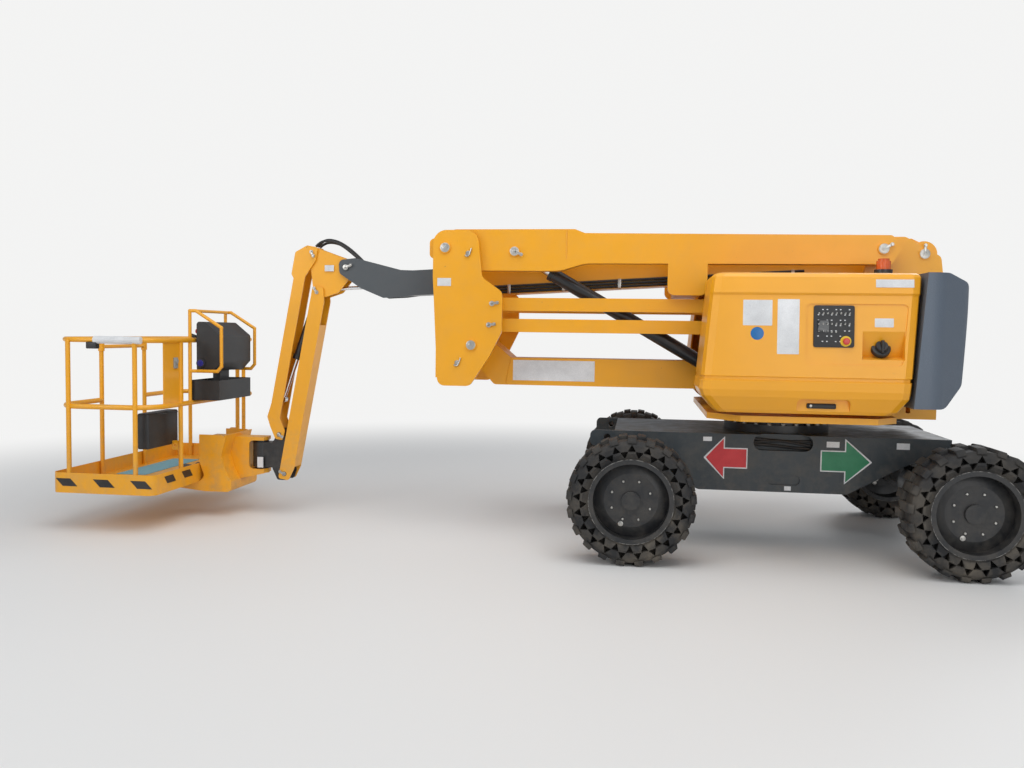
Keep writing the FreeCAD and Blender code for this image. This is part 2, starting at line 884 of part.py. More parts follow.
rear_axle = fuse("rear_axle", [placed("rear_beam", axle_beam, rear_place)] + both("rear_pads", rear_pad)
                 + both("hub_reductions", hub_reduction) + both("rear_spindles", rear_spindle))
kingpin_x = "(wheel_base / 2)"
fork_top_z = "(%s + knuckle_height / 2 + fork_thickness)" % axle_height
fork_low_z = "(%s - knuckle_height / 2 - fork_thickness)" % axle_height
steer_fork = fuse("steer_fork", [
    block("fork_back", (kingpin_x + " - fork_reach", "axle_half_length - axle_end_overlap", fork_low_z),
          (kingpin_x + " + fork_reach", "axle_half_length - axle_end_overlap + fork_back_thickness",
           fork_top_z)),
    block("fork_upper", (kingpin_x + " - fork_reach", "axle_half_length",
                         fork_top_z + " - fork_thickness + face_gap"),
          (kingpin_x + " + fork_reach", "kingpin_place", fork_top_z)),
    disc("fork_upper_end", "floor", (kingpin_x, "kingpin_place"), "fork_reach",
         fork_top_z + " - fork_thickness + face_gap", "fork_thickness - face_gap"),
    block("fork_lower", (kingpin_x + " - fork_reach", "axle_half_length", fork_low_z),
          (kingpin_x + " + fork_reach", "kingpin_place", fork_low_z + " + fork_thickness - face_gap")),
    disc("fork_lower_end", "floor", (kingpin_x, "kingpin_place"), "fork_reach", fork_low_z,
         "fork_thickness - face_gap"),
    disc("kingpin", "floor", (kingpin_x, "kingpin_place"), "kingpin_radius", fork_low_z,
         "knuckle_height + 2 * fork_thickness"),
])
front_axle = fuse("front_axle", [placed("front_beam", axle_beam, front_place), front_pad]
                  + both("steer_forks", steer_fork))
sub_part("axles", [rear_axle, front_axle], solids=2)

# Steering knuckles: a sleeve on each kingpin with the wheel's hub outside it.
sleeve = disc("sleeve", "floor", (kingpin_x, "kingpin_place"), "knuckle_radius",
              axle_height + " - knuckle_height / 2", "knuckle_height")
sleeve_arm = disc("sleeve_arm", "side", (kingpin_x, axle_height), "hub_radius", hub_face,
                  hub_face + " - kingpin_place")
front_spindle = disc("front_spindle", "side", (kingpin_x, axle_height), "spindle_radius",
                     hub_face + " + spindle_length", "spindle_length + axle_end_overlap")
kingpin_bore = disc("kingpin_bore", "floor", (kingpin_x, "kingpin_place"), "kingpin_radius + running_gap",
                    fork_low_z, "knuckle_height + 2 * fork_thickness")
steer_knuckle = cut("steer_knuckle", fuse("steer_knuckle_solid", [sleeve, sleeve_arm, front_spindle]),
                    [kingpin_bore])
sub_part("steer_knuckle_left", [steer_knuckle])
sub_part("steer_knuckle_right", [mirrored("steer_knuckle_mirrored", steer_knuckle)])

# Rims, turned about their own axle: a dished disc inside a rim with a flange
# on each edge, and the hub that runs on the spindle.
disc_outside = "(tyre_width / 2 - rim_disc_inset)"
disc_inside = "(tyre_width / 2 - rim_disc_inset - rim_disc_thickness)"
hub_inside = "(tyre_width / 2 - rim_disc_inset - rim_disc_thickness - hub_length)"
bead = "(bead_width / 2 + seat_gap)"
rim_profile = [
    ("spindle_radius + running_gap", hub_inside), ("hub_radius", hub_inside), ("hub_radius", disc_inside),
    ("rim_dish_radius", disc_inside), ("rim_radius - rim_wall", disc_inside + " - rim_dish_depth"),
    ("rim_radius - rim_wall", "-%s - rim_flange_thickness" % bead),
    ("rim_flange_radius", "-%s - rim_flange_thickness" % bead), ("rim_flange_radius", "-" + bead),
    ("rim_radius", "-" + bead), ("rim_radius", bead), ("rim_flange_radius", bead),
    ("rim_flange_radius", bead + " + rim_flange_thickness"),
    ("rim_radius - rim_wall", bead + " + rim_flange_thickness"),
    ("rim_radius - rim_wall", disc_outside + " - rim_dish_depth"), ("rim_dish_radius", disc_outside),
    ("hub_cap_radius", disc_outside), ("hub_cap_radius", disc_outside + " + hub_cap_length"),
    ("0", disc_outside + " + hub_cap_length"), ("0", hub_inside + " + spindle_length + spindle_end_gap"),
    ("spindle_radius + running_gap", hub_inside + " + spindle_length + spindle_end_gap"),
]


# Tyres: solid rubber with many flat sides, two for each lug of one edge. The
# lugs of the two edges stand half a pitch apart and meet over the middle.
def ring(name, radius, place, sides):
    """One flat-sided section of the tyre across its axle."""
    thing = doc.addObject("Part::RegularPolygon", name)
    thing.Placement = FreeCAD.Placement(FreeCAD.Vector(), plane_turn["side"])
    bind(thing, "Polygon", sides)
    bind(thing, "Circumradius", radius)
    bind(thing, "Placement.Base.y", place)
    return thing


carcass = lofted("carcass", [
    ring("carcass_right", "sidewall_radius", "-tyre_width / 2", "2 * tread_lugs"),
    ring("carcass_tread_right", "tread_root_radius", "-tread_half_width", "2 * tread_lugs"),
    ring("carcass_tread_left", "tread_root_radius", "tread_half_width", "2 * tread_lugs"),
    ring("carcass_left", "sidewall_radius", "tyre_width / 2", "2 * tread_lugs"),
])
slope = "(sidewall_inner_radius - bead_radius) / (tyre_width / 2 - bead_width / 2)"
recess = lofted("bead_recess", [
    ring("recess_inner", "bead_radius", "bead_width / 2", "tread_lugs"),
    ring("recess_outer", "sidewall_inner_radius + past * " + slope, "tyre_width / 2 + past", "tread_lugs"),
])
bore = lofted("tyre_bore", [
    ring("bore_right", "(rim_radius + seat_gap) / cos(180 deg / tread_lugs)", "-tyre_width / 2",
         "tread_lugs"),
    ring("bore_left", "(rim_radius + seat_gap) / cos(180 deg / tread_lugs)", "tyre_width / 2", "tread_lugs"),
])
lug_turn = "(90 deg / tread_lugs)"
lug_profile = slab("lug_profile", [
    ("-lug_crossing", "lug_seat_radius * cos(%s)" % lug_turn),
    ("-lug_crossing", "tyre_radius * cos(%s)" % lug_turn),
    ("lug_land", "tyre_radius * cos(%s)" % lug_turn),
    ("tyre_width / 2", "lug_end_radius * cos(%s)" % lug_turn),
    ("tyre_width / 2", "lug_seat_radius * cos(%s)" % lug_turn),
], "front", "-tyre_radius * sin(%s) - past" % lug_turn, "2 * tyre_radius * sin(%s) + 2 * past" % lug_turn)
lug_sector = slab("lug_sector", [
    ("0", "0"), ("-(tyre_radius + past) * sin(%s)" % lug_turn, "(tyre_radius + past) * cos(%s)" % lug_turn),
    ("(tyre_radius + past) * sin(%s)" % lug_turn, "(tyre_radius + past) * cos(%s)" % lug_turn),
], "side", "tyre_width / 2 + past", "tyre_width + 2 * past")
tread_lug = common("tread_lug", [lug_profile, lug_sector])
tread_lug_right = mirrored("tread_lug_right", tread_lug)
tread = []
for number in range(size_table["tread_lugs"]):
    tread.append(placed("lug_left_%d" % number, tread_lug, ("0", "0", "0"),
                        "%d * 360 / tread_lugs" % number))
    tread.append(placed("lug_right_%d" % number, tread_lug_right, ("0", "0", "0"),
                        "(2 * %d + 1) * 180 / tread_lugs" % number))
tyre = fuse("tyre", [cut("tyre_carcass", carcass, both("bead_recesses", recess) + [bore])] + tread)

rim = turned("rim", rim_profile)
wheels = [
    # name, place along X, place along Y, rim
    ("front_left", "wheel_base / 2", wheel_middle, rim),
    ("front_right", "wheel_base / 2", "-" + wheel_middle, mirrored("rim_right", rim)),
    ("rear_left", "-wheel_base / 2", wheel_middle, rim),
    ("rear_right", "-wheel_base / 2", "-" + wheel_middle, mirrored("rim_rear_right", rim)),
]
for name, across, along, wheel_rim in wheels:
    sub_part("wheel_rim_" + name, [wheel_rim], (across, along, axle_height))
    sub_part("tyre_" + name, [tyre], (across, along, axle_height))

# Turret: a base plate on the slew ring with two towers that carry the arms, a
# tail for the counterweight and posts for the hoods' hinges.
turret_top = "(turret_plate_bottom + turret_plate_thickness)"
base_plate = slab("base_plate", [
    ("turret_plate_front", "-turret_plate_half_width + turret_front_corner"),
    ("turret_plate_front", "turret_plate_half_width - turret_front_corner"),
    ("turret_plate_front - turret_front_corner", "turret_plate_half_width"),
    ("-turret_plate_rear + turret_rear_corner", "turret_plate_half_width"),
    ("-turret_plate_rear", "turret_plate_half_width - turret_rear_corner"),
    ("-turret_plate_rear", "-turret_plate_half_width + turret_rear_corner"),
    ("-turret_plate_rear + turret_rear_corner", "-turret_plate_half_width"),
    ("turret_plate_front - turret_front_corner", "-turret_plate_half_width"),
], "floor", "turret_plate_bottom", "turret_plate_thickness")
tail_plate = block("tail_plate", ("-tail_rear", "-tower_outer", "turret_plate_bottom"),
                   ("-turret_plate_rear + sink", "tower_outer", turret_top))
tail_seat = block("tail_seat", ("-tail_rear", "-tower_outer", turret_top + " - sink"),
                  ("-tail_seat_front", "tower_outer", "counterweight_bottom - face_gap"))
hinge_side = "(hood_inner - hinge_inset)"
hinges = [
    # name, post's rear, pin's rear, ear's rear
    ("rear", "-rear_post_place", "-rear_post_place - ear_gap - ear_length - sink",
     "-rear_post_place - ear_gap - ear_length"),
    ("front", "front_post_place", "front_post_place + post_depth - sink",
     "front_post_place + post_depth + ear_gap"),
]
hood_posts = []
for name, post, pin, ear in hinges:
    hood_posts += [
        block("hood_post_" + name, (post, hinge_side + " - post_inner", turret_top + " - sink"),
              (post + " + post_depth", hinge_side + " + post_outer", hinge_height + " + post_outer")),
        disc("hinge_pin_" + name, "front", (hinge_side, hinge_height), "hinge_pin_radius", pin,
             "ear_gap + ear_length + 2 * sink"),
    ]
tower = plate("tower", [
    ("tower_front", turret_top + " - sink"), ("tower_front", "tower_front_height"),
    ("-lower_arm_rear + tower_pin_front", "lower_arm_pin_height + tower_pin_rise"),
    ("-lower_arm_rear - tower_top_back", "tower_top"), ("-tower_rear", "tower_top"),
    ("-tower_rear", turret_top + " - sink"),
], "side", "tower_outer", "tower_thickness", [("tower_round", (1, 2, 3, 4))])
lower_pin = disc("lower_arm_rear_pin", "side", ("-lower_arm_rear", "lower_arm_pin_height"),
                 "main_pin_radius",
                 "tower_outer + pin_collar", "2 * tower_outer + 2 * pin_collar")
tie_inner = "(tie_outer - tie_thickness - tie_pin_gap)"
lower_tie_pin = disc("lower_tie_rear_pin", "side", ("-lower_arm_rear - lower_tie_back",
                     "lower_arm_pin_height + lower_tie_rise"), "tie_pin_radius",
                     "tower_outer + small_pin_collar",
                     "tower_outer + small_pin_collar - " + tie_inner)
sub_part("turret_frame", [base_plate, tail_plate, tail_seat, lower_pin] + both("towers", tower)
         + both("lower_tie_rear_pins", lower_tie_pin) + both("hood_posts",
                                                             fuse("hood_posts_left", hood_posts)))

# Hoods: moulded covers with a belt, a crease and a shoulder, drawn in towards
# the top and open towards the arms.


def hood_loft(name, inset, levels, inner):
    """The hood's outside, or its inside when inset by a wall."""
    sections = []
    for number, (level, height) in enumerate(levels):
        front = "(hood_front - %s_front - %s)" % (level, inset)
        rear = "(%s_rear + %s - hood_rear)" % (level, inset)
        side = "(hood_outer - %s_side - %s)" % (level, inset)
        sections.append(outline("%s_level_%d" % (name, number), [
            (front, inner), (front, side + " - hood_corner"),
            (front + " - hood_corner_inset", side + " - hood_corner_inset"),
            (front + " - hood_corner", side),
            (rear + " + hood_corner", side), (rear + " + hood_corner_inset", side + " - hood_corner_inset"),
            (rear, side + " - hood_corner"), (rear, inner),
        ], "floor", height))
    return lofted(name, sections)


outer_levels = [(level, hood_rises[level]) for level, *insets in hood_levels]
smooth_levels = ["belly", "belt_low", "belt", "crease_low", "crease_top", "shoulder_low", "shoulder_top"]
inner_levels = [("hem", "hood_bottom - past")] + [(level, hood_rises[level]) for level in smooth_levels] \
    + [("crown_low", hood_top + " - hood_wall")]
panel_levels = [("crease_low", hood_rises["crease_low"]), ("crease_top", hood_rises["crease_top"]),
                ("shoulder_low", hood_rises["shoulder_low"])]
hood_skin = hood_loft("hood_skin", "0", outer_levels, "hood_inner")
hood_hollow = hood_loft("hood_hollow", "hood_wall", inner_levels, "hood_inner - past")

# The shallow panel recess, the scoop for the switch and the grip in the belly
panel_recess = cut("panel_recess", plate("panel_window", [
    ("-panel_front", "panel_top"), ("-panel_rear", "panel_top"),
    ("-panel_rear + panel_round", "panel_bottom"),
    ("-panel_front", "panel_bottom"),
], "side", "hood_outer", "hood_outer - hood_inner", [("panel_round", (0, 1, 2, 3))]),
    [hood_loft("panel_floor", "panel_depth", panel_levels, "hood_inner - past")])
scoop_pocket = slab("scoop_pocket", [
    ("hood_outer", "scoop_top"), ("hood_outer - panel_round", "scoop_top"),
    ("hood_outer - scoop_depth", "scoop_shelf"), ("hood_outer", "scoop_bottom"),
], "front", "-scoop_rear", "scoop_rear - scoop_front")
scoop_case = slab("scoop_case", [
    ("hood_outer", "scoop_top + scoop_wall"),
    ("hood_outer - panel_round - scoop_wall", "scoop_top + scoop_wall"),
    ("hood_outer - scoop_depth - scoop_wall", "scoop_shelf"),
    ("hood_outer - scoop_depth - scoop_wall", "scoop_shelf - scoop_wall"),
    ("hood_outer", "scoop_bottom - scoop_wall"),
], "front", "-scoop_rear - scoop_wall", "scoop_rear - scoop_front + 2 * scoop_wall")
grip_pocket = plate("grip_pocket", [
    ("grip_front", "grip_top"), ("-grip_rear", "grip_top"), ("-grip_rear", "hood_bottom - past"),
    ("grip_front", "hood_bottom - past"),
], "side", "hood_outer", "hood_outer - grip_inner", [("grip_round", (0, 1))])
grip_case = block("grip_case", ("-grip_rear - grip_wall", "grip_inner - grip_wall", "hood_bottom"),
                  ("grip_front + grip_wall", "hood_outer", "grip_top + grip_wall"))
hood_cases = common("hood_cases", [fuse("case_pair", [scoop_case, grip_case]), hood_skin])
hood_shell = cut("hood_shell", fuse("hood_walls", [cut("hood_thin", hood_skin, [hood_hollow]), hood_cases]),
                 [panel_recess, scoop_pocket, grip_pocket])
hood_ears = []
for name, post, pin, ear in hinges:
    ear_solid = block("hood_ear_solid_" + name,
                      (ear, hinge_side + " - hinge_ear_round", hood_top + " - hood_wall / 2"),
                      (ear + " + ear_length", "hood_inner + ear_sink", hinge_height + " + hinge_ear_round"))
    hood_ears.append(cut("hood_ear_" + name, ear_solid, [
        disc("hood_ear_bore_" + name, "front", (hinge_side, hinge_height), "hinge_pin_radius + running_gap",
             ear + " - past", "ear_length + 2 * past")]))
hood = fuse("hood", [hood_shell] + hood_ears)
sub_part("hood_left", [hood])
sub_part("hood_right", [mirrored("hood_mirrored", hood)])

# Beacon: a domed lamp on its base, on the left hood's crown.
sub_part("beacon", [
    disc("beacon_base", "floor", ("-beacon_place", "beacon_side"), "beacon_base_radius", hood_top,
         "beacon_base_height"),
    disc("beacon_lens", "floor", ("-beacon_place", "beacon_side"), "beacon_radius",
         hood_top + " + beacon_base_height - sink", "beacon_height"),
    disc("beacon_dome", "floor", ("-beacon_place", "beacon_side"), "beacon_dome_radius",
         hood_top + " + beacon_base_height + beacon_height - 2 * sink", "beacon_dome_height"),
])

# Counterweight: a casting behind each hood, shaped from the side and from
# above, and joined low down behind the towers.
seam_low = "-(hood_rear - belt_low_rear + hood_seam)"
seam_top = "-(hood_rear + hood_seam)"
weight_side = plate("weight_side", [
    (seam_top, "counterweight_top"), ("-counterweight_shoulder", "counterweight_top"),
    ("-counterweight_rear", "counterweight_rear_top"),
    ("-counterweight_low_rear", "counterweight_low_height"),
    ("-counterweight_low_end", "counterweight_bottom"), (seam_low, "counterweight_bottom"),
], "side", "counterweight_half_width", "counterweight_half_width - counterweight_inner",
    [("counterweight_round", (1, 2, 3, 4))])
weight_above = plate("weight_above", [
    (seam_low + " + past", "counterweight_inner"), (seam_low + " + past", "counterweight_half_width"),
    ("-counterweight_side_rear", "counterweight_half_width"),
    ("-counterweight_rear", "counterweight_rear_half_width"), ("-counterweight_rear", "counterweight_inner"),
], "floor", "counterweight_bottom", "counterweight_top - counterweight_bottom",
    [("counterweight_side_round", (2, 3))])
weight_lobe = common("weight_lobe", [weight_side, weight_above])
weight_bridge = block("weight_bridge",
                      ("-tail_rear", "-counterweight_inner - sink", "counterweight_bottom"),
                      ("-tail_rear + bridge_depth", "counterweight_inner + sink", "bridge_top"))
sub_part("counterweight", [weight_bridge] + both("weight_lobes", weight_lobe))

# Engine: the heavy block under the right-hand hood.
sub_part("engine_block", [block("engine", ("-engine_rear", "-engine_outer", turret_top),
                                ("engine_front", "-engine_inner", turret_top + " + engine_height"))])

# Lower arm: one box beam between the turret's towers and the front knuckle,
# drawn from its rear pin, with a horn and a boss at each end.
arm_bottom = "(lower_arm_top_drop + lower_arm_depth)"
lower_beam = plate("lower_beam", [
    ("-arm_toe_reach", "-arm_toe_drop"), ("-arm_toe_reach", "arm_horn_rise"),
    ("arm_horn_reach", "arm_horn_rise"),
    ("arm_horn_root", "-lower_arm_top_drop"), ("lower_arm_length - arm_horn_root", "-lower_arm_top_drop"),
    ("lower_arm_length - arm_horn_reach", "arm_horn_rise"),
    ("lower_arm_length + arm_toe_reach", "arm_horn_rise"),
    ("lower_arm_length + arm_toe_reach", "-arm_toe_drop"),
    ("lower_arm_length - arm_toe_back", "-" + arm_bottom),
    ("0", "-" + arm_bottom),
], "side", "lower_arm_half_width", "2 * lower_arm_half_width", [("arm_round", (0, 1, 2, 5, 6, 7, 8, 9))])
lower_bosses = [
    disc("lower_boss_rear", "side", ("0", "0"), "arm_boss_radius", "arm_boss_half_length",
         "2 * arm_boss_half_length"),
    disc("lower_boss_front", "side", ("lower_arm_length", "0"), "arm_boss_radius", "arm_boss_half_length",
         "2 * arm_boss_half_length"),
]
lower_bores = [
    disc("lower_bore_rear", "side", ("0", "0"), "main_pin_radius + running_gap",
         "arm_boss_half_length + past",
         "2 * arm_boss_half_length + 2 * past"),
    disc("lower_bore_front", "side", ("lower_arm_length", "0"), "main_pin_radius + running_gap",
         "arm_boss_half_length + past", "2 * arm_boss_half_length + 2 * past"),
]
lift_pin = disc("lift_pin", "side", ("lift_barrel_place", "-lift_barrel_drop"), "lift_pin_radius",
                "lift_outer + lift_pin_end", "2 * lift_outer + 2 * lift_pin_end")
sub_part("lower_arm", [cut("lower_arm_bored", fuse("lower_arm_solid", [lower_beam] + lower_bosses),
                           lower_bores),
                       lift_pin], ("-lower_arm_rear", "0", "lower_arm_pin_height"))


def tie_bar(name, length):
    """A flat bar with an eye at each end, from its front pin towards the rear."""
    solid = fuse(name + "_solid", [
        block(name + "_flat", ("-" + length, "tie_outer - tie_thickness", "-tie_depth / 2"),
              ("0", "tie_outer", "tie_depth / 2")),
        disc(name + "_eye_front", "side", ("0", "0"), "tie_eye_radius", "tie_outer", "tie_thickness"),
        disc(name + "_eye_rear", "side", ("-" + length, "0"), "tie_eye_radius", "tie_outer",
             "tie_thickness"),
    ])
    return cut(name, solid, [
        disc(name + "_hole_front", "side", ("0", "0"), "tie_pin_radius + running_gap", "tie_outer + past",
             "tie_thickness + 2 * past"),
        disc(name + "_hole_rear", "side", ("-" + length, "0"), "tie_pin_radius + running_gap",
             "tie_outer + past",
             "tie_thickness + 2 * past"),
    ])


sub_part("lower_tie_bars", both("lower_ties", tie_bar("lower_tie", "lower_arm_length")),
         ("(lower_arm_length - lower_arm_rear - lower_tie_back)", "0",
          "lower_arm_pin_height + lower_tie_rise"),
         solids=2)

# Front knuckle: two side plates with rounded corners, a web between them, and
# the pins of both arms and both pairs of tie bars.
lower_front_x = "(lower_arm_length - lower_arm_rear)"
knuckle_plate = plate("knuckle_plate", [
    ("upper_arm_pin - knuckle_top_back", "upper_arm_pin_height + knuckle_top_rise"),
    ("upper_arm_pin + knuckle_front", "upper_arm_pin_height + knuckle_top_rise"),
    ("upper_arm_pin + knuckle_front", "upper_arm_pin_height - knuckle_waist_drop"),
    (lower_front_x + " + knuckle_toe_front", "lower_arm_pin_height - knuckle_toe_drop"),
    (lower_front_x + " + knuckle_toe_rear", "lower_arm_pin_height - knuckle_toe_drop"),
    (lower_front_x + " - knuckle_heel_back", "lower_arm_pin_height - knuckle_heel_drop"),
    (lower_front_x + " - knuckle_rear_back", "lower_arm_pin_height + knuckle_rear_low"),
    (lower_front_x + " - knuckle_rear_back", "lower_arm_pin_height + knuckle_rear_high"),
    ("upper_arm_pin - knuckle_neck_back", "upper_arm_pin_height - knuckle_neck_drop"),
], "side", "knuckle_plate_outer", "knuckle_plate_thickness",
    [("knuckle_top_round", (0, 1)), ("knuckle_round", (3, 4, 5, 6, 7, 8))])
knuckle_web = block("knuckle_web", ("upper_arm_pin + knuckle_web_reach - knuckle_web_thickness",
                                    "-knuckle_plate_outer + sink", "knuckle_web_bottom"),
                    ("upper_arm_pin + knuckle_web_reach", "knuckle_plate_outer - sink", "knuckle_web_top"))
knuckle_pins = [
    disc("upper_front_pin", "side", ("upper_arm_pin", "upper_arm_pin_height"), "main_pin_radius",
         "knuckle_plate_outer + pin_collar",
         "knuckle_plate_outer + pin_collar - upper_beam_outer + upper_beam_width"),
    disc("upper_tie_front_pin", "side", ("upper_arm_pin - upper_tie_back",
                                         "upper_arm_pin_height - upper_tie_drop"),
         "tie_pin_radius", "knuckle_plate_outer + small_pin_collar",
         "knuckle_plate_outer + small_pin_collar - " + tie_inner),
    disc("lower_tie_front_pin", "side", (lower_front_x + " - lower_tie_back",
         "lower_arm_pin_height + lower_tie_rise"), "tie_pin_radius",
         "knuckle_plate_outer + small_pin_collar",
         "knuckle_plate_outer + small_pin_collar - " + tie_inner),
]
lower_front_pin = disc("lower_front_pin", "side", (lower_front_x, "lower_arm_pin_height"), "main_pin_radius",
                       "knuckle_plate_outer + pin_collar", "2 * knuckle_plate_outer + 2 * pin_collar")
sub_part("front_knuckle", [lower_front_pin, knuckle_web] + both("knuckle_sides", fuse(
    "knuckle_side", [knuckle_plate] + knuckle_pins)))

# Upper arm: two box beams that pass the telescopic boom on both sides, drawn
# from the front pin, deeper at the head and joined below the boom by a saddle.
upper_beam = plate("upper_beam", [
    ("-upper_head_start", "upper_beam_top"), ("-upper_step_place", "upper_beam_top"),
    ("-upper_step_place - upper_step_length", "upper_beam_top - upper_step_drop"),
    ("-upper_arm_length - upper_tail_slope", "upper_beam_top - upper_tail_drop"),
    ("-upper_arm_length - upper_tail_reach", "0"),
    ("-upper_arm_length - upper_tail_slope", "-upper_beam_bottom"),
    ("-upper_head_place - upper_head_slope", "-upper_beam_bottom"),
    ("-upper_head_place", "-upper_head_bottom"),
    ("-upper_head_start", "-upper_head_bottom"),
    ("upper_head_end_radius", "-upper_tail_slope"), ("upper_head_end_radius", "upper_tail_slope"),
], "side", "upper_beam_outer", "upper_beam_width",
    [("upper_tail_round", (3, 4, 5, 9, 10)), ("upper_curve", (6, 7)), ("knuckle_round", (0, 8))])
upper_bores = [
    disc("upper_bore_front", "side", ("0", "0"), "main_pin_radius + running_gap", "upper_beam_outer + past",
         "upper_beam_width + 2 * past"),
    disc("upper_bore_rear", "side", ("-upper_arm_length", "0"), "main_pin_radius + running_gap",
         "upper_beam_outer + past", "upper_beam_width + 2 * past"),
]
saddle_leg = plate("saddle_leg", [
    ("-saddle_place", "-saddle_leg_top"), ("-saddle_place - saddle_leg_length", "-saddle_leg_top"),
    ("-saddle_place - saddle_leg_length", "-saddle_drop"), ("-saddle_place", "-saddle_drop"),
], "side", "upper_beam_outer", "saddle_leg_thickness", [("saddle_round", (2, 3))])
saddle_plate = block("saddle_plate", ("-saddle_place - saddle_leg_length + saddle_plate_inset",
                                      "-upper_beam_outer + sink", "-saddle_drop"),
                     ("-saddle_place - saddle_plate_inset", "upper_beam_outer - sink",
                      "-saddle_drop + saddle_plate_thickness"))
lift_boss = disc("lift_boss", "side", ("-lift_boss_place", "-lift_boss_drop"), "lift_boss_radius",
                 "upper_beam_outer + pin_collar", "lift_boss_length")
upper_side = fuse("upper_side", [cut("upper_beam_bored", upper_beam, upper_bores), saddle_leg, lift_boss])
sub_part("upper_arm", [saddle_plate] + both("upper_sides", upper_side),
         ("upper_arm_pin", "0", "upper_arm_pin_height"))

sub_part("upper_tie_bars", both("upper_ties", tie_bar("upper_tie", "upper_arm_length")),
         ("(upper_arm_pin - upper_tie_back)", "0", "upper_arm_pin_height - upper_tie_drop"), solids=2)

# Rear knuckle: two plates between the upper arm's beams with the boom's pin,
# the boom cylinder's pin and stub pins for the arm and its ties.
rear_pin_x = "(upper_arm_pin - upper_arm_length)"
rear_tie_x = "(%s - upper_tie_back)" % rear_pin_x
rear_tie_z = "(upper_arm_pin_height - upper_tie_drop)"
rear_plate = plate("rear_plate", [
    ("-boom_pin + rear_top_front", "boom_pin_height + rear_top_rise"),
    ("-boom_pin + rear_top_back", "boom_pin_height + rear_top_rise"),
    ("-boom_pin - rear_peak_rise", "boom_pin_height - rear_shoulder_drop"),
    ("-boom_pin - rear_shoulder_back", "boom_pin_height - rear_hip_drop"),
    (rear_tie_x + " - rear_foot_drop", rear_tie_z + " - rear_foot_rise"),
    ("-boom_cylinder_place - rear_foot_back", "boom_cylinder_height - rear_foot_drop"),
    ("-boom_cylinder_place + rear_foot_front", "boom_cylinder_height - rear_foot_drop"),
    ("-boom_pin + rear_belly_front", "boom_pin_height - rear_belly_drop"),
], "side", "rear_plate_outer", "rear_plate_thickness", [("rear_round", (0, 1, 2, 3, 4, 5, 6, 7))])
rear_stub = disc("rear_stub", "side", (rear_pin_x, "upper_arm_pin_height"), "main_pin_radius",
                 "upper_beam_outer + pin_collar",
                 "upper_beam_outer + pin_collar - rear_plate_outer + rear_plate_thickness - sink")
rear_tie_stub = disc("rear_tie_stub", "side", (rear_tie_x, rear_tie_z), "tie_pin_radius",
                     "tie_outer + small_pin_collar",
                     "tie_outer + small_pin_collar - rear_plate_outer + rear_plate_thickness - sink")
boom_pin_bar = disc("boom_pin_bar", "side", ("-boom_pin", "boom_pin_height"), "main_pin_radius",
                    "rear_plate_outer + small_pin_collar", "2 * rear_plate_outer + 2 * small_pin_collar")
cylinder_pin_bar = disc("cylinder_pin_bar", "side", ("-boom_cylinder_place", "boom_cylinder_height"),
                        "lift_pin_radius", "rear_plate_outer + small_pin_collar",
                        "2 * rear_plate_outer + 2 * small_pin_collar")
sub_part("rear_knuckle", [boom_pin_bar, cylinder_pin_bar] + both("rear_sides", fuse(
    "rear_side", [rear_plate, rear_stub, rear_tie_stub])))

# Telescopic boom, drawn along its own axis from its rear pin.
boom_place = ("-boom_pin", "0", "boom_pin_height")
half_outer = "outer_boom_height / 2"
outer_tube = plate("outer_tube", [
    ("-boom_tail_back", "-boom_tail_rise"), ("-boom_tail_back", "boom_tail_rise"),
    ("boom_tail_slope", half_outer), ("outer_boom_length", half_outer),
    ("outer_boom_length", "-" + half_outer), ("boom_tail_slope", "-" + half_outer),
], "side", "outer_boom_width / 2", "outer_boom_width", [("outer_boom_edge", (0, 1))])
boom_boss = disc("boom_boss", "side", ("0", "0"), "boom_boss_radius",
                 "rear_plate_outer - rear_plate_thickness - face_gap",
                 "2 * rear_plate_outer - 2 * rear_plate_thickness - 2 * face_gap")
outer_cavity = block("outer_cavity", ("inner_boom_rear - boom_cavity_back",
                                      "-outer_boom_width / 2 + outer_boom_wall",
                                      "-%s + outer_boom_wall" % half_outer),
                     ("outer_boom_length + past", "outer_boom_width / 2 - outer_boom_wall",
                      "%s - outer_boom_wall" % half_outer))
boom_bore = disc("boom_bore", "side", ("0", "0"), "main_pin_radius + running_gap", "rear_plate_outer",
                 "2 * rear_plate_outer")
wear_ring = cut("wear_ring", block("wear_frame", ("outer_boom_length - wear_ring_length",
                                                  "-outer_boom_width / 2 + sink", "-%s + sink" % half_outer),
                                   ("outer_boom_length", "outer_boom_width / 2 - sink",
                                    "%s - sink" % half_outer)),
                [block("wear_window", ("outer_boom_length - wear_ring_length - past",
                                       "-inner_boom_width / 2 - seat_gap",
                                       "-inner_boom_height / 2 - seat_gap"),
                       ("outer_boom_length + past", "inner_boom_width / 2 + seat_gap",
                        "inner_boom_height / 2 + seat_gap"))])
clevis = plate("clevis", [
    ("clevis_place - clevis_root", "-%s + outer_boom_wall / 2" % half_outer),
    ("clevis_place - clevis_margin", "-clevis_drop - clevis_margin"),
    ("clevis_place + clevis_margin", "-clevis_drop - clevis_margin"),
    ("clevis_place + clevis_root", "-%s + outer_boom_wall / 2" % half_outer),
], "side", "boom_eye_width / 2 + clevis_gap + clevis_plate", "clevis_plate", [("clevis_round", (1, 2))])
sub_part("boom_outer", [cut("outer_hollow", fuse("outer_solid", [outer_tube, boom_boss]),
                            [outer_cavity, boom_bore]),
                        wear_ring] + both("clevis_pair", clevis), boom_place, "-boom_slope")

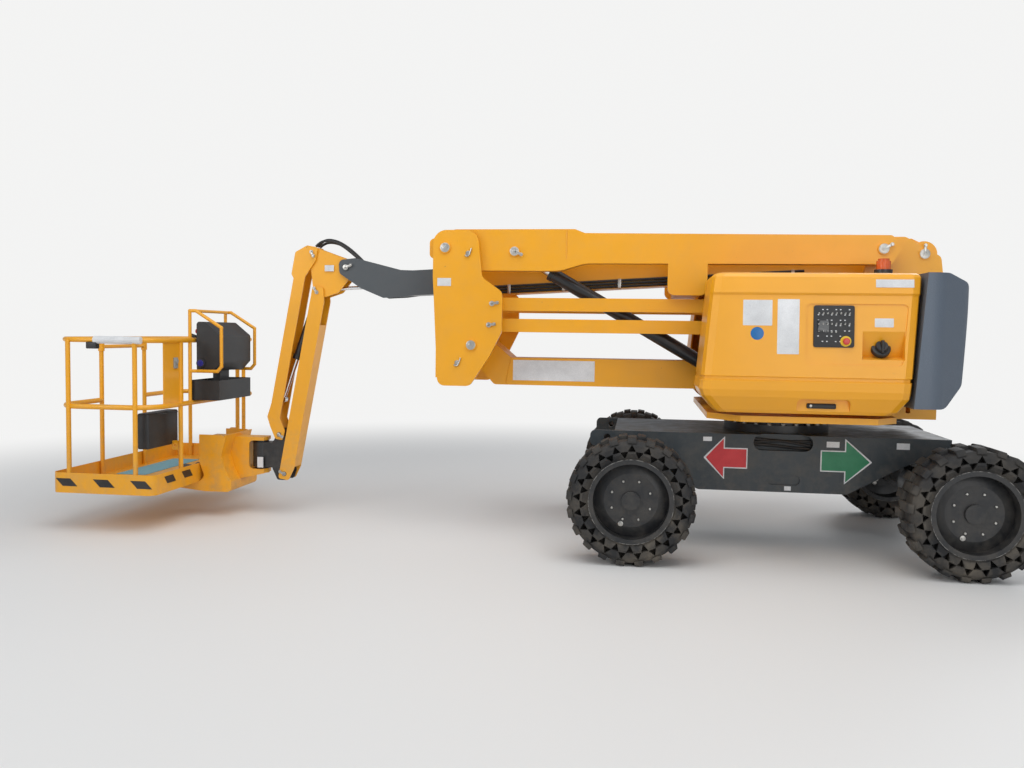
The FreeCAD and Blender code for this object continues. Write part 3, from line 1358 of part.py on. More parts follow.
half_inner = "inner_boom_height / 2"
inner_tube = cut("inner_tube", block("inner_box",
                                     ("inner_boom_rear", "-inner_boom_width / 2", "-" + half_inner),
                                     ("inner_boom_front", "inner_boom_width / 2", half_inner)),
                 [block("inner_cavity", ("inner_boom_rear - past", "-inner_boom_width / 2 + inner_boom_wall",
                                         "-%s + inner_boom_wall" % half_inner),
                        ("inner_boom_front + past", "inner_boom_width / 2 - inner_boom_wall",
                         "%s - inner_boom_wall" % half_inner))])
head_plate = plate("head_plate", [
    ("head_root", "-head_root_half_height"), ("head_root", "head_root_half_height"),
    ("inner_boom_front", "head_cheek_half_height"),
    ("head_pin_reach - head_top_back", "head_pin_rise + head_top_rise"),
    ("head_pin_reach + head_nose", "head_pin_rise + head_nose_rise"),
    ("head_pin_reach + head_nose", "head_pin_rise - head_nose_drop"),
    ("head_pin_reach - head_throat_back", "head_pin_rise - head_throat_drop"),
    ("head_belly_reach", "-head_cheek_half_height"), ("inner_boom_front", "-head_cheek_half_height"),
], "side", "inner_boom_width / 2", "boom_head_plate", [("head_round", (3, 4, 5))])
head_pin = disc("head_pin", "side", ("head_pin_reach", "head_pin_rise"), "lift_pin_radius",
                "inner_boom_width / 2 + pin_collar", "inner_boom_width + 2 * pin_collar")
level_pin = disc("level_pin", "side", ("level_pin_reach", "-level_pin_drop"), "level_pin_radius",
                 "inner_boom_width / 2 - sink", "inner_boom_width - 2 * sink")
sub_part("boom_inner", [inner_tube, head_pin, level_pin] + both("head_plates", head_plate), boom_place,
         "-boom_slope")

# Jib head: two plates between the boom head's plates, kept level by a cylinder.
jib_head_shape = plate("jib_head_shape", [
    (jib_top_x + " - jib_head_front", jib_top_z + " + jib_head_top"),
    (head_x + " - jib_head_back", head_z + " + jib_head_shoulder"),
    (head_x + " - jib_head_heel_back", head_z + " - jib_head_heel_drop"),
    (head_x + " + jib_head_belly_reach", head_z + " - jib_head_belly_drop"),
    (jib_tie_x + " - jib_head_toe_back", jib_tie_z + " - jib_head_toe_drop"),
    (jib_tie_x + " + jib_head_toe_reach", jib_tie_z + " - jib_head_toe_drop"),
    (jib_top_x + " + jib_head_waist", jib_top_z + " - jib_head_waist_drop"),
    (jib_top_x + " + jib_head_front", jib_top_z + " + jib_head_top"),
], "side", "jib_head_outer", "jib_head_plate", [("jib_head_round", (0, 1, 2, 3, 4, 5, 7))])
jib_head_hole = disc("jib_head_hole", "side", (head_x, head_z), "lift_pin_radius + running_gap",
                     "inner_boom_width", "2 * inner_boom_width")
jib_head_boss = disc("jib_head_boss", "side", (head_x, head_z), "jib_head_boss_radius",
                     "inner_boom_width / 2 - boom_head_plate - face_gap",
                     "inner_boom_width - 2 * boom_head_plate - 2 * face_gap")
jib_head_web = slab("jib_head_web", [
    (head_x + " + jib_head_web_start", head_z + " + jib_head_web_rise"),
    (head_x + " + jib_head_web_start", head_z + " + jib_head_web_rise + jib_head_web_thickness"),
    (head_x + " + jib_head_web_end",
     head_z + " + jib_head_web_rise + jib_head_web_slope + jib_head_web_thickness"),
    (head_x + " + jib_head_web_end", head_z + " + jib_head_web_rise + jib_head_web_slope"),
], "side", "jib_head_outer - sink", "2 * jib_head_outer - 2 * sink")
stub_outer = "jib_bar_outer + jib_stub_end"
stub_length = "(jib_bar_outer + jib_stub_end - jib_head_outer + jib_head_plate)"
jib_head_stubs = [
    disc("jib_top_stub", "side", (jib_top_x, jib_top_z), "jib_pin_radius", stub_outer, stub_length),
    disc("jib_tie_top_stub", "side", (jib_tie_x, jib_tie_z), "jib_pin_radius", stub_outer, stub_length),
]
jib_cylinder_x = "(%s - jib_cylinder_back)" % jib_top_x
jib_cylinder_z = "(%s - jib_cylinder_drop)" % jib_top_z
jib_cylinder_pin = disc("jib_cylinder_pin", "side", (jib_cylinder_x, jib_cylinder_z), "level_pin_radius",
                        "jib_head_outer - sink", "2 * jib_head_outer - 2 * sink")
jib_head_side = fuse("jib_head_side", [cut("jib_head_bored", jib_head_shape,
                                           [jib_head_hole])] + jib_head_stubs)
sub_part("jib_head", [cut("jib_head_tube", jib_head_boss, [jib_head_hole]), jib_head_web, jib_cylinder_pin]
         + both("jib_head_sides", jib_head_side))


def jib_holes(name):
    """The pin holes at both ends of a jib bar's plate."""
    return [
        disc(name + "_top_hole", "side", ("0", "0"), "jib_pin_radius + running_gap", "jib_bar_outer + past",
             "jib_bar_plate + 2 * past"),
        disc(name + "_low_hole", "side", ("jib_length", "0"), "jib_pin_radius + running_gap",
             "jib_bar_outer + past", "jib_bar_plate + 2 * past"),
    ]


# Jib: the arm in front and the tie bar behind it, drawn along their own length
# from their top pins and hung from the jib head.
jib_turn = "(jib_lean - 90)"
jib_arm_shape = plate("jib_arm_shape", [
    ("-jib_eye_reach", "-arm_nose_drop"), ("-jib_eye_reach", "arm_nose_drop"),
    ("arm_crank_reach", "arm_crank_rise"), ("arm_front_start", "arm_crank_rise"),
    ("arm_crank_end", "arm_back_rise"), ("jib_length - arm_foot_start", "arm_back_rise"),
    ("jib_length - arm_foot_place", "arm_foot_rise"), ("jib_length - arm_foot_taper", "arm_foot_shoulder"),
    ("jib_length + arm_foot_drop", "arm_crank_reach"), ("jib_length + arm_foot_drop", "-arm_foot_drop"),
    ("jib_length - arm_foot_drop", "-arm_foot_drop"), ("jib_length - arm_foot_front", "arm_front_rise"),
    ("arm_front_start", "arm_front_rise"), ("arm_nose_reach", "-arm_nose_drop"),
], "side", "jib_bar_outer", "jib_bar_plate", [("jib_bar_round", (0, 1, 2, 3, 6, 7, 8, 9, 10, 13))])
jib_arm_web = block("jib_arm_web", ("arm_web_start", "-jib_bar_outer + sink",
                                    "arm_back_rise - jib_web_thickness"),
                    ("jib_length - arm_web_end", "jib_bar_outer - sink", "arm_back_rise"))
jib_arm_side = cut("jib_arm_side", jib_arm_shape, jib_holes("jib_arm"))
sub_part("jib_arm", [jib_arm_web] + both("jib_arm_sides", jib_arm_side), (jib_top_x, "0", jib_top_z),
         jib_turn)

jib_tie_shape = plate("jib_tie_shape", [
    ("-jib_eye_reach", "tie_bar_rise"), ("jib_length + jib_eye_reach", "tie_bar_rise"),
    ("jib_length + jib_eye_reach", "-tie_bar_rise"), ("jib_length - tie_bar_taper", "-tie_bar_drop"),
    ("tie_bar_taper", "-tie_bar_drop"), ("-jib_eye_reach", "-tie_bar_rise"),
], "side", "jib_bar_outer", "jib_bar_plate", [("jib_bar_round", (0, 1, 2, 3, 4, 5))])
jib_tie_web = block("jib_tie_web", ("tie_web_start", "-jib_bar_outer + sink", "-tie_bar_drop"),
                    ("jib_length - tie_web_end", "jib_bar_outer - sink",
                     "-tie_bar_drop + jib_web_thickness"))
jib_tie_side = cut("jib_tie_side", jib_tie_shape, jib_holes("jib_tie"))
sub_part("jib_tie_bar", [jib_tie_web] + both("jib_tie_sides", jib_tie_side), (jib_tie_x, "0", jib_tie_z),
         jib_turn)

# Jib foot: two plates on the jib's lower pins that hold the basket's rotator,
# a round motor with its axis upright.
foot_plate = plate("foot_plate", [
    (foot_x + " - foot_top_rise", foot_z + " + foot_top_rise"),
    (foot_x + " + foot_top_reach", foot_z + " + foot_top_rise"),
    (foot_x + " + foot_front_reach", foot_z + " - foot_front_drop"),
    (rotator_x + " - foot_block_back", "rotator_top - foot_arm_drop"),
    (rotator_x, "rotator_top - foot_arm_drop"),
    (rotator_x, "rotator_bottom + foot_arm_drop"),
    (rotator_x + " - foot_block_back", "rotator_bottom + foot_arm_drop"),
    (foot_x + " + foot_low_reach", foot_z + " - foot_low_drop"),
    (foot_x + " - foot_low_back", foot_z + " - foot_low_drop"),
    (foot_x + " - foot_back", foot_z + " - foot_back_drop"),
    (foot_x + " - foot_waist_back", foot_z + " - foot_waist_drop"),
], "side", "jib_head_outer", "jib_head_plate", [("foot_round", (0, 1, 7, 8, 9, 10))])
foot_stubs = [
    disc("foot_top_stub", "side", (foot_x, foot_z), "jib_pin_radius", stub_outer, stub_length),
    disc("foot_low_stub", "side", (foot_x + " - jib_tie_back", foot_z + " - jib_tie_drop"), "jib_pin_radius",
         stub_outer, stub_length),
]
rotator = [
    disc("rotator_body", "floor", (rotator_x, "0"), "rotator_radius", "rotator_bottom + rotator_cap_height",
         "rotator_top - rotator_bottom - 2 * rotator_cap_height"),
    disc("rotator_caps", "floor", (rotator_x, "0"), "rotator_cap_radius", "rotator_bottom",
         "rotator_top - rotator_bottom"),
]
foot_block = block("foot_block", (rotator_x + " - foot_block_back", "-jib_head_outer + sink",
                                  "rotator_bottom + foot_arm_drop"),
                   (rotator_x, "jib_head_outer - sink", "rotator_top - foot_arm_drop"))
sub_part("jib_foot", rotator + [foot_block] + both("foot_sides",
                                                   fuse("foot_side", [foot_plate] + foot_stubs)))

# Basket mount: a fork whose two cheeks grip the rotator from above and below,
# and a bent plate with two sides that carries the basket's floor.
fork_cheek = plate("fork_cheek", [
    (rotator_x + " - fork_mouth", "fork_top"), (rotator_x + " + fork_end", "fork_top"),
    (rotator_x + " + fork_end", "fork_bottom - fork_low_drop"), (rotator_x + " - fork_mouth", "fork_bottom"),
    (rotator_x + " - fork_mouth", "rotator_bottom - face_gap"),
    (rotator_x + " + fork_throat", "rotator_bottom - face_gap"),
    (rotator_x + " + fork_throat", "rotator_top + face_gap"),
    (rotator_x + " - fork_mouth", "rotator_top + face_gap"),
], "side", "fork_half_width", "fork_plate", [("fork_throat_round", (5, 6))])
fork_web = block("fork_web", (rotator_x + " + fork_throat + fork_plate", "-fork_half_width + sink",
                              "fork_bottom"),
                 (rotator_x + " + fork_throat + 2 * fork_plate", "fork_half_width - sink", "fork_top"))
fork_blades = [
    block("blade_top", (rotator_x, "-fork_half_width", "rotator_top + face_gap"),
          (basket_back + " - face_gap", "fork_half_width", "fork_top")),
    disc("blade_top_end", "floor", (rotator_x, "0"), "blade_radius", "rotator_top + face_gap",
         "fork_top - rotator_top - face_gap"),
    block("blade_low", (rotator_x, "-fork_half_width", "fork_bottom"),
          (rotator_x + " + fork_end", "fork_half_width", "rotator_bottom - face_gap")),
    disc("blade_low_end", "floor", (rotator_x, "0"), "blade_radius", "fork_bottom",
         "rotator_bottom - face_gap - fork_bottom"),
]
mount_side = plate("mount_side", [
    (basket_back + " - mount_column", "mount_top"), (basket_back + " - face_gap", "mount_top"),
    (basket_back + " - face_gap", "mount_notch_top"), (basket_back + " - mount_notch", "mount_notch_height"),
    (basket_back, "toe_board_bottom - face_gap"),
    (basket_back + " + mount_under", "toe_board_bottom - face_gap"),
    (basket_back + " + mount_under", "mount_under_bottom"), (basket_back + " - mount_notch", "mount_bottom"),
    (basket_back + " - mount_skirt", "mount_bottom"), (basket_back + " - mount_skirt", "mount_skirt_height"),
    (basket_back + " - mount_flare", "mount_flare_height"),
    (basket_back + " - mount_waist", "mount_waist_height"),
], "side", "mount_half_width", "mount_plate", [("mount_round", (0, 2, 3, 7, 8, 9)),
                                               ("mount_round - mount_plate", (10, 11))])
mount_wrap = plate("mount_wrap", [
    (basket_back + " - mount_column", "mount_top"), (basket_back + " - mount_waist", "mount_waist_height"),
    (basket_back + " - mount_flare", "mount_flare_height"),
    (basket_back + " - mount_skirt", "mount_skirt_height"),
    (basket_back + " - mount_skirt", "mount_bottom"), (basket_back + " - mount_notch", "mount_bottom"),
    (basket_back + " - mount_notch", "mount_bottom + mount_plate"),
    (basket_back + " - mount_skirt + mount_plate", "mount_bottom + mount_plate"),
    (basket_back + " - mount_skirt + mount_plate", "mount_skirt_height"),
    (basket_back + " - mount_flare + mount_plate", "mount_flare_height"),
    (basket_back + " - mount_waist + mount_plate", "mount_waist_height"),
    (basket_back + " - mount_column + mount_plate", "mount_top"),
], "side", "mount_half_width - sink", "2 * mount_half_width - 2 * sink",
    [("mount_round", (3, 4, 9, 10)), ("mount_round - mount_plate", (1, 2, 7, 8))])
sub_part("basket_mount", [fork_web, mount_wrap] + fork_blades + both("fork_cheeks", fork_cheek)
         + both("mount_sides", mount_side))

# Basket floor: a tray with rounded corners and a toe board round it.
floor_corners = [
    (basket_back, "-basket_half_width"), (basket_back, "basket_half_width"),
    (basket_front, "basket_half_width"), (basket_front, "-basket_half_width"),
]
toe_corners = [
    (basket_back + " + toe_board_thickness", "-basket_half_width + toe_board_thickness"),
    (basket_back + " + toe_board_thickness", "basket_half_width - toe_board_thickness"),
    (basket_front + " - toe_board_thickness", "basket_half_width - toe_board_thickness"),
    (basket_front + " - toe_board_thickness", "-basket_half_width + toe_board_thickness"),
]
floor_tray = plate("floor_tray", floor_corners, "floor", "toe_board_bottom",
                   "toe_board_top - toe_board_bottom",
                   [("basket_corner", (0, 1, 2, 3))])
tray_hollow = plate("floor_hollow", toe_corners, "floor", "basket_floor",
                    "toe_board_top - basket_floor + past",
                    [("basket_corner - toe_board_thickness", (0, 1, 2, 3))])
sub_part("basket_floor", [cut("floor_open_tray", floor_tray, [tray_hollow])])

# Basket rails: two bent rails on posts, a plate where the cables come in, two
# harness anchors and the hoops round the console.
rail_back = "(%s + rail_radius)" % basket_back
rail_front = "(%s - rail_radius)" % basket_front
rail_side = "(basket_half_width - rail_radius)"


def rail_corner(name, across, along, height, quarter):
    """A quarter bend of the rail's tube."""
    thing = doc.addObject("Part::Torus", name)
    bind(thing, "Radius1", "rail_corner_radius")
    bind(thing, "Radius2", "rail_radius")
    thing.Angle3 = 90
    thing.Placement = FreeCAD.Placement(FreeCAD.Vector(),
                                        FreeCAD.Rotation(FreeCAD.Vector(0, 0, 1), 90 * quarter))
    bind(thing, "Placement.Base.x", across)
    bind(thing, "Placement.Base.y", along)
    bind(thing, "Placement.Base.z", height)
    return thing


def rail_loop(name, height, gate):
    """A rail round the basket, left open between the gate posts where gate is true."""
    back = rail_back + " + rail_corner_radius"
    front = rail_front + " - rail_corner_radius"
    side = rail_side + " - rail_corner_radius"
    things = [
        rail_corner(name + "_front_left", front, side, height, 0),
        rail_corner(name + "_back_left", back, side, height, 1),
        rail_corner(name + "_back_right", back, "-(%s)" % side, height, 2),
        rail_corner(name + "_front_right", front, "-(%s)" % side, height, 3),
        disc(name + "_left", "front", (rail_side, height), "rail_radius", back, "%s - (%s)" % (front, back)),
        disc(name + "_right", "front", ("-" + rail_side, height), "rail_radius", back,
             "%s - (%s)" % (front, back)),
        disc(name + "_back", "side", (rail_back, height), "rail_radius", side, "2 * (%s)" % side),
    ]
    if gate:
        run = side + " - gate_post"
        things += [
            disc(name + "_front_a", "side", (rail_front, height), "rail_radius", side, run),
            disc(name + "_front_b", "side", (rail_front, height), "rail_radius", "-gate_post", run),
        ]
    else:
        things.append(disc(name + "_front", "side", (rail_front, height), "rail_radius", side,
                           "2 * (%s)" % side))
    return things


def tube(name, radius, along, corners):
    """A round tube through corners in an upright plane, with a ball in each bend."""
    things = []
    for number, ((across_a, up_a), (across_b, up_b)) in enumerate(zip(corners, corners[1:])):
        bar = doc.addObject("Part::Cylinder", "%s_bar_%d" % (name, number))
        bar.Placement = FreeCAD.Placement(FreeCAD.Vector(), FreeCAD.Rotation(FreeCAD.Vector(0, 1, 0), 1))
        run = "(%s) - (%s)" % (across_b, across_a)
        rise = "(%s) - (%s)" % (up_b, up_a)
        bind(bar, "Radius", radius)
        bind(bar, "Height", "hypot(%s; %s)" % (run, rise))
        bind(bar, "Placement.Rotation.Angle", "atan2(%s; %s)" % (run, rise))
        bind(bar, "Placement.Base.x", across_a)
        bind(bar, "Placement.Base.y", along)
        bind(bar, "Placement.Base.z", up_a)
        things.append(bar)
    for number, (across, up) in enumerate(corners[1:-1]):
        ball = doc.addObject("Part::Sphere", "%s_bend_%d" % (name, number))
        bind(ball, "Radius", radius + " + weld_bulge")
        bind(ball, "Placement.Base.x", across)
        bind(ball, "Placement.Base.y", along)
        bind(ball, "Placement.Base.z", up)
        things.append(ball)
    return things


posts = [
    # name, place along X, place along Y
    ("end_front", basket_back + " + end_post_front", rail_side),
    ("end_rear", basket_back + " + end_post_rear", rail_side),
    ("gate", rail_front, "gate_post"),
    ("back", rail_back, "back_post"),
]
post_pairs = []
for name, across, along in posts:
    post_pairs += both("post_%s_pair" % name, disc("post_" + name, "floor", (across, along), "post_radius",
                                                   "basket_floor", "rail_top - basket_floor"))
back_plate = block("back_plate", (rail_back + " - back_plate_thickness / 2", "back_plate_inner",
                                  "mid_rail_height"),
                   (rail_back + " + back_plate_thickness / 2", "back_plate_outer", "rail_top"))
anchor = cut("anchor", plate("anchor_plate", [
    (rail_back, "anchor_height - anchor_half_height"),
    (rail_back + " + anchor_reach", "anchor_height - anchor_half_height"),
    (rail_back + " + anchor_reach", "anchor_height + anchor_half_height"),
    (rail_back, "anchor_height + anchor_half_height"),
], "side", "back_post + anchor_thickness / 2", "anchor_thickness", [("anchor_round", (1, 2))]), [
    disc("anchor_hole", "side", (rail_back + " + anchor_hole_place", "anchor_height"), "anchor_hole_radius",
         "back_post + anchor_thickness", "2 * anchor_thickness")])
hoops = []
for side, along in (("left", "hoop_left"), ("right", "-hoop_right")):
    hoops.append(fuse("hoop_" + side, tube("hoop_tube_" + side, "hoop_radius", along, [
        (rail_back, "mid_rail_height"), (rail_back, "hoop_top"),
        (rail_back + " - hoop_top_reach", "hoop_top"),
        (rail_back + " - hoop_shoulder_reach", "hoop_shoulder"),
        (rail_back + " - hoop_shoulder_reach", "hoop_knee"),
        (rail_back + " - hoop_foot_reach", "hoop_bottom"), (rail_back, "hoop_bottom"),
    ])))
hoop_cross = disc("hoop_cross", "side", (rail_back + " - hoop_top_reach / 2", "hoop_top"),
                  "hoop_radius - weld_bulge",
                  "hoop_left", "hoop_left + hoop_right")
sub_part("basket_rails", rail_loop("top_rail", "rail_top", False) + rail_loop("mid_rail",
                                                                              "mid_rail_height", True)
         + post_pairs + [back_plate, hoop_cross] + both("anchors", anchor) + hoops)

# Entry bar: slides on the gate posts, parked under the top rail.
bar_height = "(rail_top - bar_drop)"
bar_sleeve = cut("bar_sleeve", disc("bar_sleeve_solid", "floor", (rail_front, "gate_post"),
                                    "bar_sleeve_radius",
                                    bar_height + " - bar_sleeve_height / 2", "bar_sleeve_height"),
                 [disc("bar_sleeve_bore", "floor", (rail_front, "gate_post"), "post_radius + running_gap",
                       bar_height + " - bar_sleeve_height", "2 * bar_sleeve_height")])
bar_run = disc("bar_run", "side", (rail_front, bar_height), "bar_radius",
               "gate_post - post_radius - bar_end_gap",
               "2 * gate_post - 2 * post_radius - 2 * bar_end_gap")
sub_part("entry_bar", [bar_run] + both("bar_sleeves", bar_sleeve))

# Console: a black box with rounded edges between the hoops, over a tray.
console_box = plate("console_box", [
    (basket_back + " - console_front", "console_top"), (basket_back + " - console_top_reach", "console_top"),
    (basket_back + " - console_reach", "console_shoulder"),
    (basket_back + " - console_reach", "console_knee"),
    (basket_back + " - console_foot_reach", "console_bottom"),
    (basket_back + " - console_front", "console_bottom"),
], "side", "hoop_left - console_gap", "hoop_left + hoop_right - 2 * console_gap",
    [("console_round", (0, 1, 2, 3, 4, 5))])
tray_bottom = "(mid_rail_height + rail_radius + seat_gap)"
tray = cut("tray", block("tray_block", (basket_back + " - tray_reach", "-hoop_right + tray_side_gap",
                                        tray_bottom),
                         (basket_back + " + tray_front", "hoop_left - tray_side_gap", "tray_top")),
           [block("tray_inside", (basket_back + " - tray_reach + tray_wall",
                                  "-hoop_right + tray_side_gap + tray_wall",
                                  tray_bottom + " + tray_wall"),
                  (basket_back + " + tray_front - tray_wall", "hoop_left - tray_side_gap - tray_wall",
                   "tray_top + past"))])
console_leg = block("console_leg", (basket_back + " - console_leg_rear", "-console_leg_half_width",
                                    tray_bottom + " + sink"),
                    (basket_back + " - console_leg_front", "console_leg_half_width",
                     "console_bottom + sink"))
sub_part("console", [console_box, tray, console_leg])


# Cylinders: a barrel with a gland on its pin and a rod that slides in it, drawn
# along their own length. The rod's eye is free of its pin.
def barrel(name, length, radius, rod, eye_radius, eye_width, pin, centre):
    """A tube closed at its pin, with an eye across Y."""
    solid = fuse(name + "_solid", [
        disc(name + "_body", "front", (centre, "0"), radius, eye_radius + " / 2",
             "%s - %s / 2" % (length, eye_radius)),
        disc(name + "_gland", "front", (centre, "0"), radius + " + gland_rim", length + " - gland_length",
             "gland_length"),
        disc(name + "_eye", "side", ("0", "0"), eye_radius, "%s + %s / 2" % (centre, eye_width), eye_width),
    ])
    return cut(name, solid, [
        disc(name + "_bore", "front", (centre, "0"), rod + " + running_gap", eye_radius + " + bore_floor",
             length),
        disc(name + "_pin_hole", "side", ("0", "0"), pin + " + running_gap", "%s + %s" % (centre, eye_width),
             "2 * " + eye_width),
    ])


def rod_piece(name, start, length, radius, eye_radius, eye_width, centre):
    """A round rod with an eye across Y at its far end."""
    return fuse(name, [
        disc(name + "_bar", "front", (centre, "0"), radius, start, "%s - %s" % (length, start)),
        disc(name + "_eye", "side", (length, "0"), eye_radius, "%s + %s / 2" % (centre, eye_width),
             eye_width),
    ])


lift_centre = "(lift_outer - lift_width / 2 - lift_side_gap)"
lift_place = ("(lift_barrel_place - lower_arm_rear)", "0", "lower_arm_pin_height - lift_barrel_drop")
lift_barrel = barrel("lift_barrel", "lift_barrel_length", "lift_barrel_radius", "lift_rod_radius",
                     "lift_eye_radius", "lift_width", "lift_pin_radius", lift_centre)
lift_rod = rod_piece("lift_rod", "lift_rod_start", "lift_length", "lift_rod_radius", "lift_eye_radius",
                     "lift_width", lift_centre)
sub_part("lift_cylinder_barrels", both("lift_barrel_pair", lift_barrel), lift_place, "lift_rise", solids=2)
sub_part("lift_cylinder_rods", both("lift_rod_pair", lift_rod), lift_place, "lift_rise", solids=2)

boom_cylinder_pin = ("-boom_cylinder_place", "0", "boom_cylinder_height")
sub_part("boom_cylinder_barrel", [barrel("boom_barrel", "boom_barrel_length", "boom_barrel_radius",
                                         "boom_rod_radius", "lift_eye_radius", "boom_eye_width",
                                         "lift_pin_radius", "0")], boom_cylinder_pin, "boom_cylinder_turn")
sub_part("boom_cylinder_rod", [rod_piece("boom_rod", "boom_rod_start", "boom_cylinder_length",
                                         "boom_rod_radius",
                                         "level_eye_radius", "boom_eye_width", "0")], boom_cylinder_pin,
         "boom_cylinder_turn")

level_cylinder_pin = (level_x, "0", level_z)
sub_part("level_cylinder_barrel", [barrel("level_barrel", "level_barrel_length", "level_barrel_radius",
                                          "level_rod_radius", "level_eye_radius", "level_eye_width",
                                          "level_pin_radius", "0")], level_cylinder_pin, "level_turn")
sub_part("level_cylinder_rod", [rod_piece("level_rod", "level_rod_start", "level_length", "level_rod_radius",
                                          "level_eye_radius", "level_eye_width", "0")], level_cylinder_pin,
         "level_turn")

jib_cylinder_end = (jib_cylinder_x, "0", jib_cylinder_z)
sub_part("jib_cylinder_barrel", [barrel("jib_barrel", "jib_barrel_length", "jib_barrel_radius",
                                        "jib_rod_radius",
                                        "jib_eye_radius", "jib_eye_width", "level_pin_radius", "0")],
         jib_cylinder_end, "jib_cylinder_turn")
sub_part("jib_cylinder_rod", [rod_piece("jib_rod", "jib_rod_start", "jib_cylinder_length", "jib_rod_radius",
                                        "jib_eye_radius", "jib_eye_width", "0")], jib_cylinder_end,
         "jib_cylinder_turn")

# Every object has to be sound before anything is written.
doc.recompute()
faults = [thing.Name for thing in doc.Objects if "Invalid" in thing.State or "Error" in thing.State]
for label, (thing, solids) in nodes.items():
    shape = thing.Shape
    if shape.isNull() or not shape.isValid() or len(shape.Solids) != solids:
        faults.append("%s has %d solids" % (label, len(shape.Solids)))
if faults:
    raise RuntimeError("unsound pieces: " + ", ".join(faults))
os.makedirs("parts", exist_ok=True)
for label, (thing, solids) in nodes.items():
    thing.Shape.exportStep("parts/%s.step" % label)
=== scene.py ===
import math

import bpy
from mathutils import Matrix, Vector


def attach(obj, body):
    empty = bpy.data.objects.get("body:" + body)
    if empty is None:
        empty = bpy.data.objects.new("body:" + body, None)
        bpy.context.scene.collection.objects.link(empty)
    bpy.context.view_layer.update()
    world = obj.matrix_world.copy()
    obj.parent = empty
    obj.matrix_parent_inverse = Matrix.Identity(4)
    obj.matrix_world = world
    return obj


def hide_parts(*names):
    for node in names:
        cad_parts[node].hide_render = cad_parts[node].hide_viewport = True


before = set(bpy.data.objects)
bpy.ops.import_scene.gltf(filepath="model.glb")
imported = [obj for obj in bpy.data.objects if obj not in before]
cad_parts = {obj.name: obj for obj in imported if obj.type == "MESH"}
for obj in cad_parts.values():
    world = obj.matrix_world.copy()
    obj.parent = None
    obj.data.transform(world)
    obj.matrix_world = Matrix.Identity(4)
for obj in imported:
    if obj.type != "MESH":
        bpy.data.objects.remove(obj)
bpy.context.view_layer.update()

# Camera: where the photographer stood, a little ahead of the slewing axis and
# seven metres off the machine's left side, looking slightly down.
slew_x = -1.8905
eye = Vector((slew_x + 1.014, 6.905, 1.49))
yaw = math.radians(8.05)
tilt = math.radians(3.23)
roll = math.radians(0.82)
look = Vector((math.sin(yaw) * math.cos(tilt), -math.cos(yaw) * math.cos(tilt), -math.sin(tilt)))
level_right = look.cross(Vector((0, 0, 1))).normalized()
level_up = level_right.cross(look)
right = level_right * math.cos(roll) + level_up * math.sin(roll)
up = level_up * math.cos(roll) - level_right * math.sin(roll)
bpy.ops.object.camera_add()
camera = bpy.context.object
camera.data.sensor_width = 36
camera.data.lens = 900 / 1024 * 36
camera.data.clip_end = 200
turn = Matrix((right, up, -look)).transposed().to_4x4()
camera.matrix_world = Matrix.Translation(eye) @ turn
bpy.context.scene.camera = camera
bpy.context.scene.view_settings.view_transform = "Standard"


def clear():
    """Deselect everything before an operator is used."""
    bpy.ops.object.select_all(action="DESELECT")


def node(tree, kind, settings=None, **inputs):
    """A shader node with its settings and input values; an input takes a value or another node's output."""
    made = tree.nodes.new(kind)
    for key, value in (settings or {}).items():
        setattr(made, key, value)
    for key, value in inputs.items():
        socket = made.inputs[key.replace("_", " ")] if key.replace("_", " ") in made.inputs else made.inputs[int(key[1:])]
        if isinstance(value, bpy.types.NodeSocket):
            tree.links.new(value, socket)
        else:
            socket.default_value = value
    return made


# Floor and studio: a pale floor that fades into a white surround, a large soft
# light overhead and three softer ones around it.
floor_reach = 60
clear()
bpy.ops.mesh.primitive_circle_add(vertices=96, radius=floor_reach, fill_type="NGON", location=(0, 0, 0))
floor = bpy.context.object
floor.name = "floor"
floor_paint = bpy.data.materials.new("floor_paint")
floor_paint.use_nodes = True
tree = floor_paint.node_tree
surface = tree.nodes["Principled BSDF"]
surface.inputs["Base Color"].default_value = (0.78, 0.775, 0.76, 1)
surface.inputs["Roughness"].default_value = 0.55
place = node(tree, "ShaderNodeTexCoord")
distance = node(tree, "ShaderNodeVectorMath", {"operation": "LENGTH"}, _0=place.outputs["Object"])
fade = node(tree, "ShaderNodeMapRange", {"interpolation_type": "SMOOTHSTEP"}, Value=distance.outputs["Value"],
            From_Min=3.6, From_Max=8.5)
path = node(tree, "ShaderNodeLightPath")
seen = node(tree, "ShaderNodeMath", {"operation": "MAXIMUM"}, _0=path.outputs["Is Camera Ray"],
            _1=path.outputs["Is Glossy Ray"])
share = node(tree, "ShaderNodeMath", {"operation": "MULTIPLY"}, _0=fade.outputs["Result"], _1=seen.outputs["Value"])
glow = node(tree, "ShaderNodeEmission", Color=(0.90, 0.90, 0.895, 1))
blend = node(tree, "ShaderNodeMixShader", _0=share.outputs["Value"], _1=surface.outputs["BSDF"],
             _2=glow.outputs["Emission"])
tree.links.new(blend.outputs["Shader"], tree.nodes["Material Output"].inputs["Surface"])
floor.data.materials.append(floor_paint)

world = bpy.data.worlds.new("studio")
bpy.context.scene.world = world
world.use_nodes = True
tree = world.node_tree
tree.nodes.clear()
path = node(tree, "ShaderNodeLightPath")
seen = node(tree, "ShaderNodeMath", {"operation": "MAXIMUM"}, _0=path.outputs["Is Camera Ray"],
            _1=path.outputs["Is Transmission Ray"])
soft = node(tree, "ShaderNodeBackground", Color=(0.90, 0.94, 1.0, 1), Strength=0.42)
pale = node(tree, "ShaderNodeBackground", Color=(0.90, 0.90, 0.895, 1), Strength=1.0)
blend = node(tree, "ShaderNodeMixShader", _0=seen.outputs["Value"], _1=soft.outputs["Background"],
             _2=pale.outputs["Background"])
output = node(tree, "ShaderNodeOutputWorld", Surface=blend.outputs["Shader"])

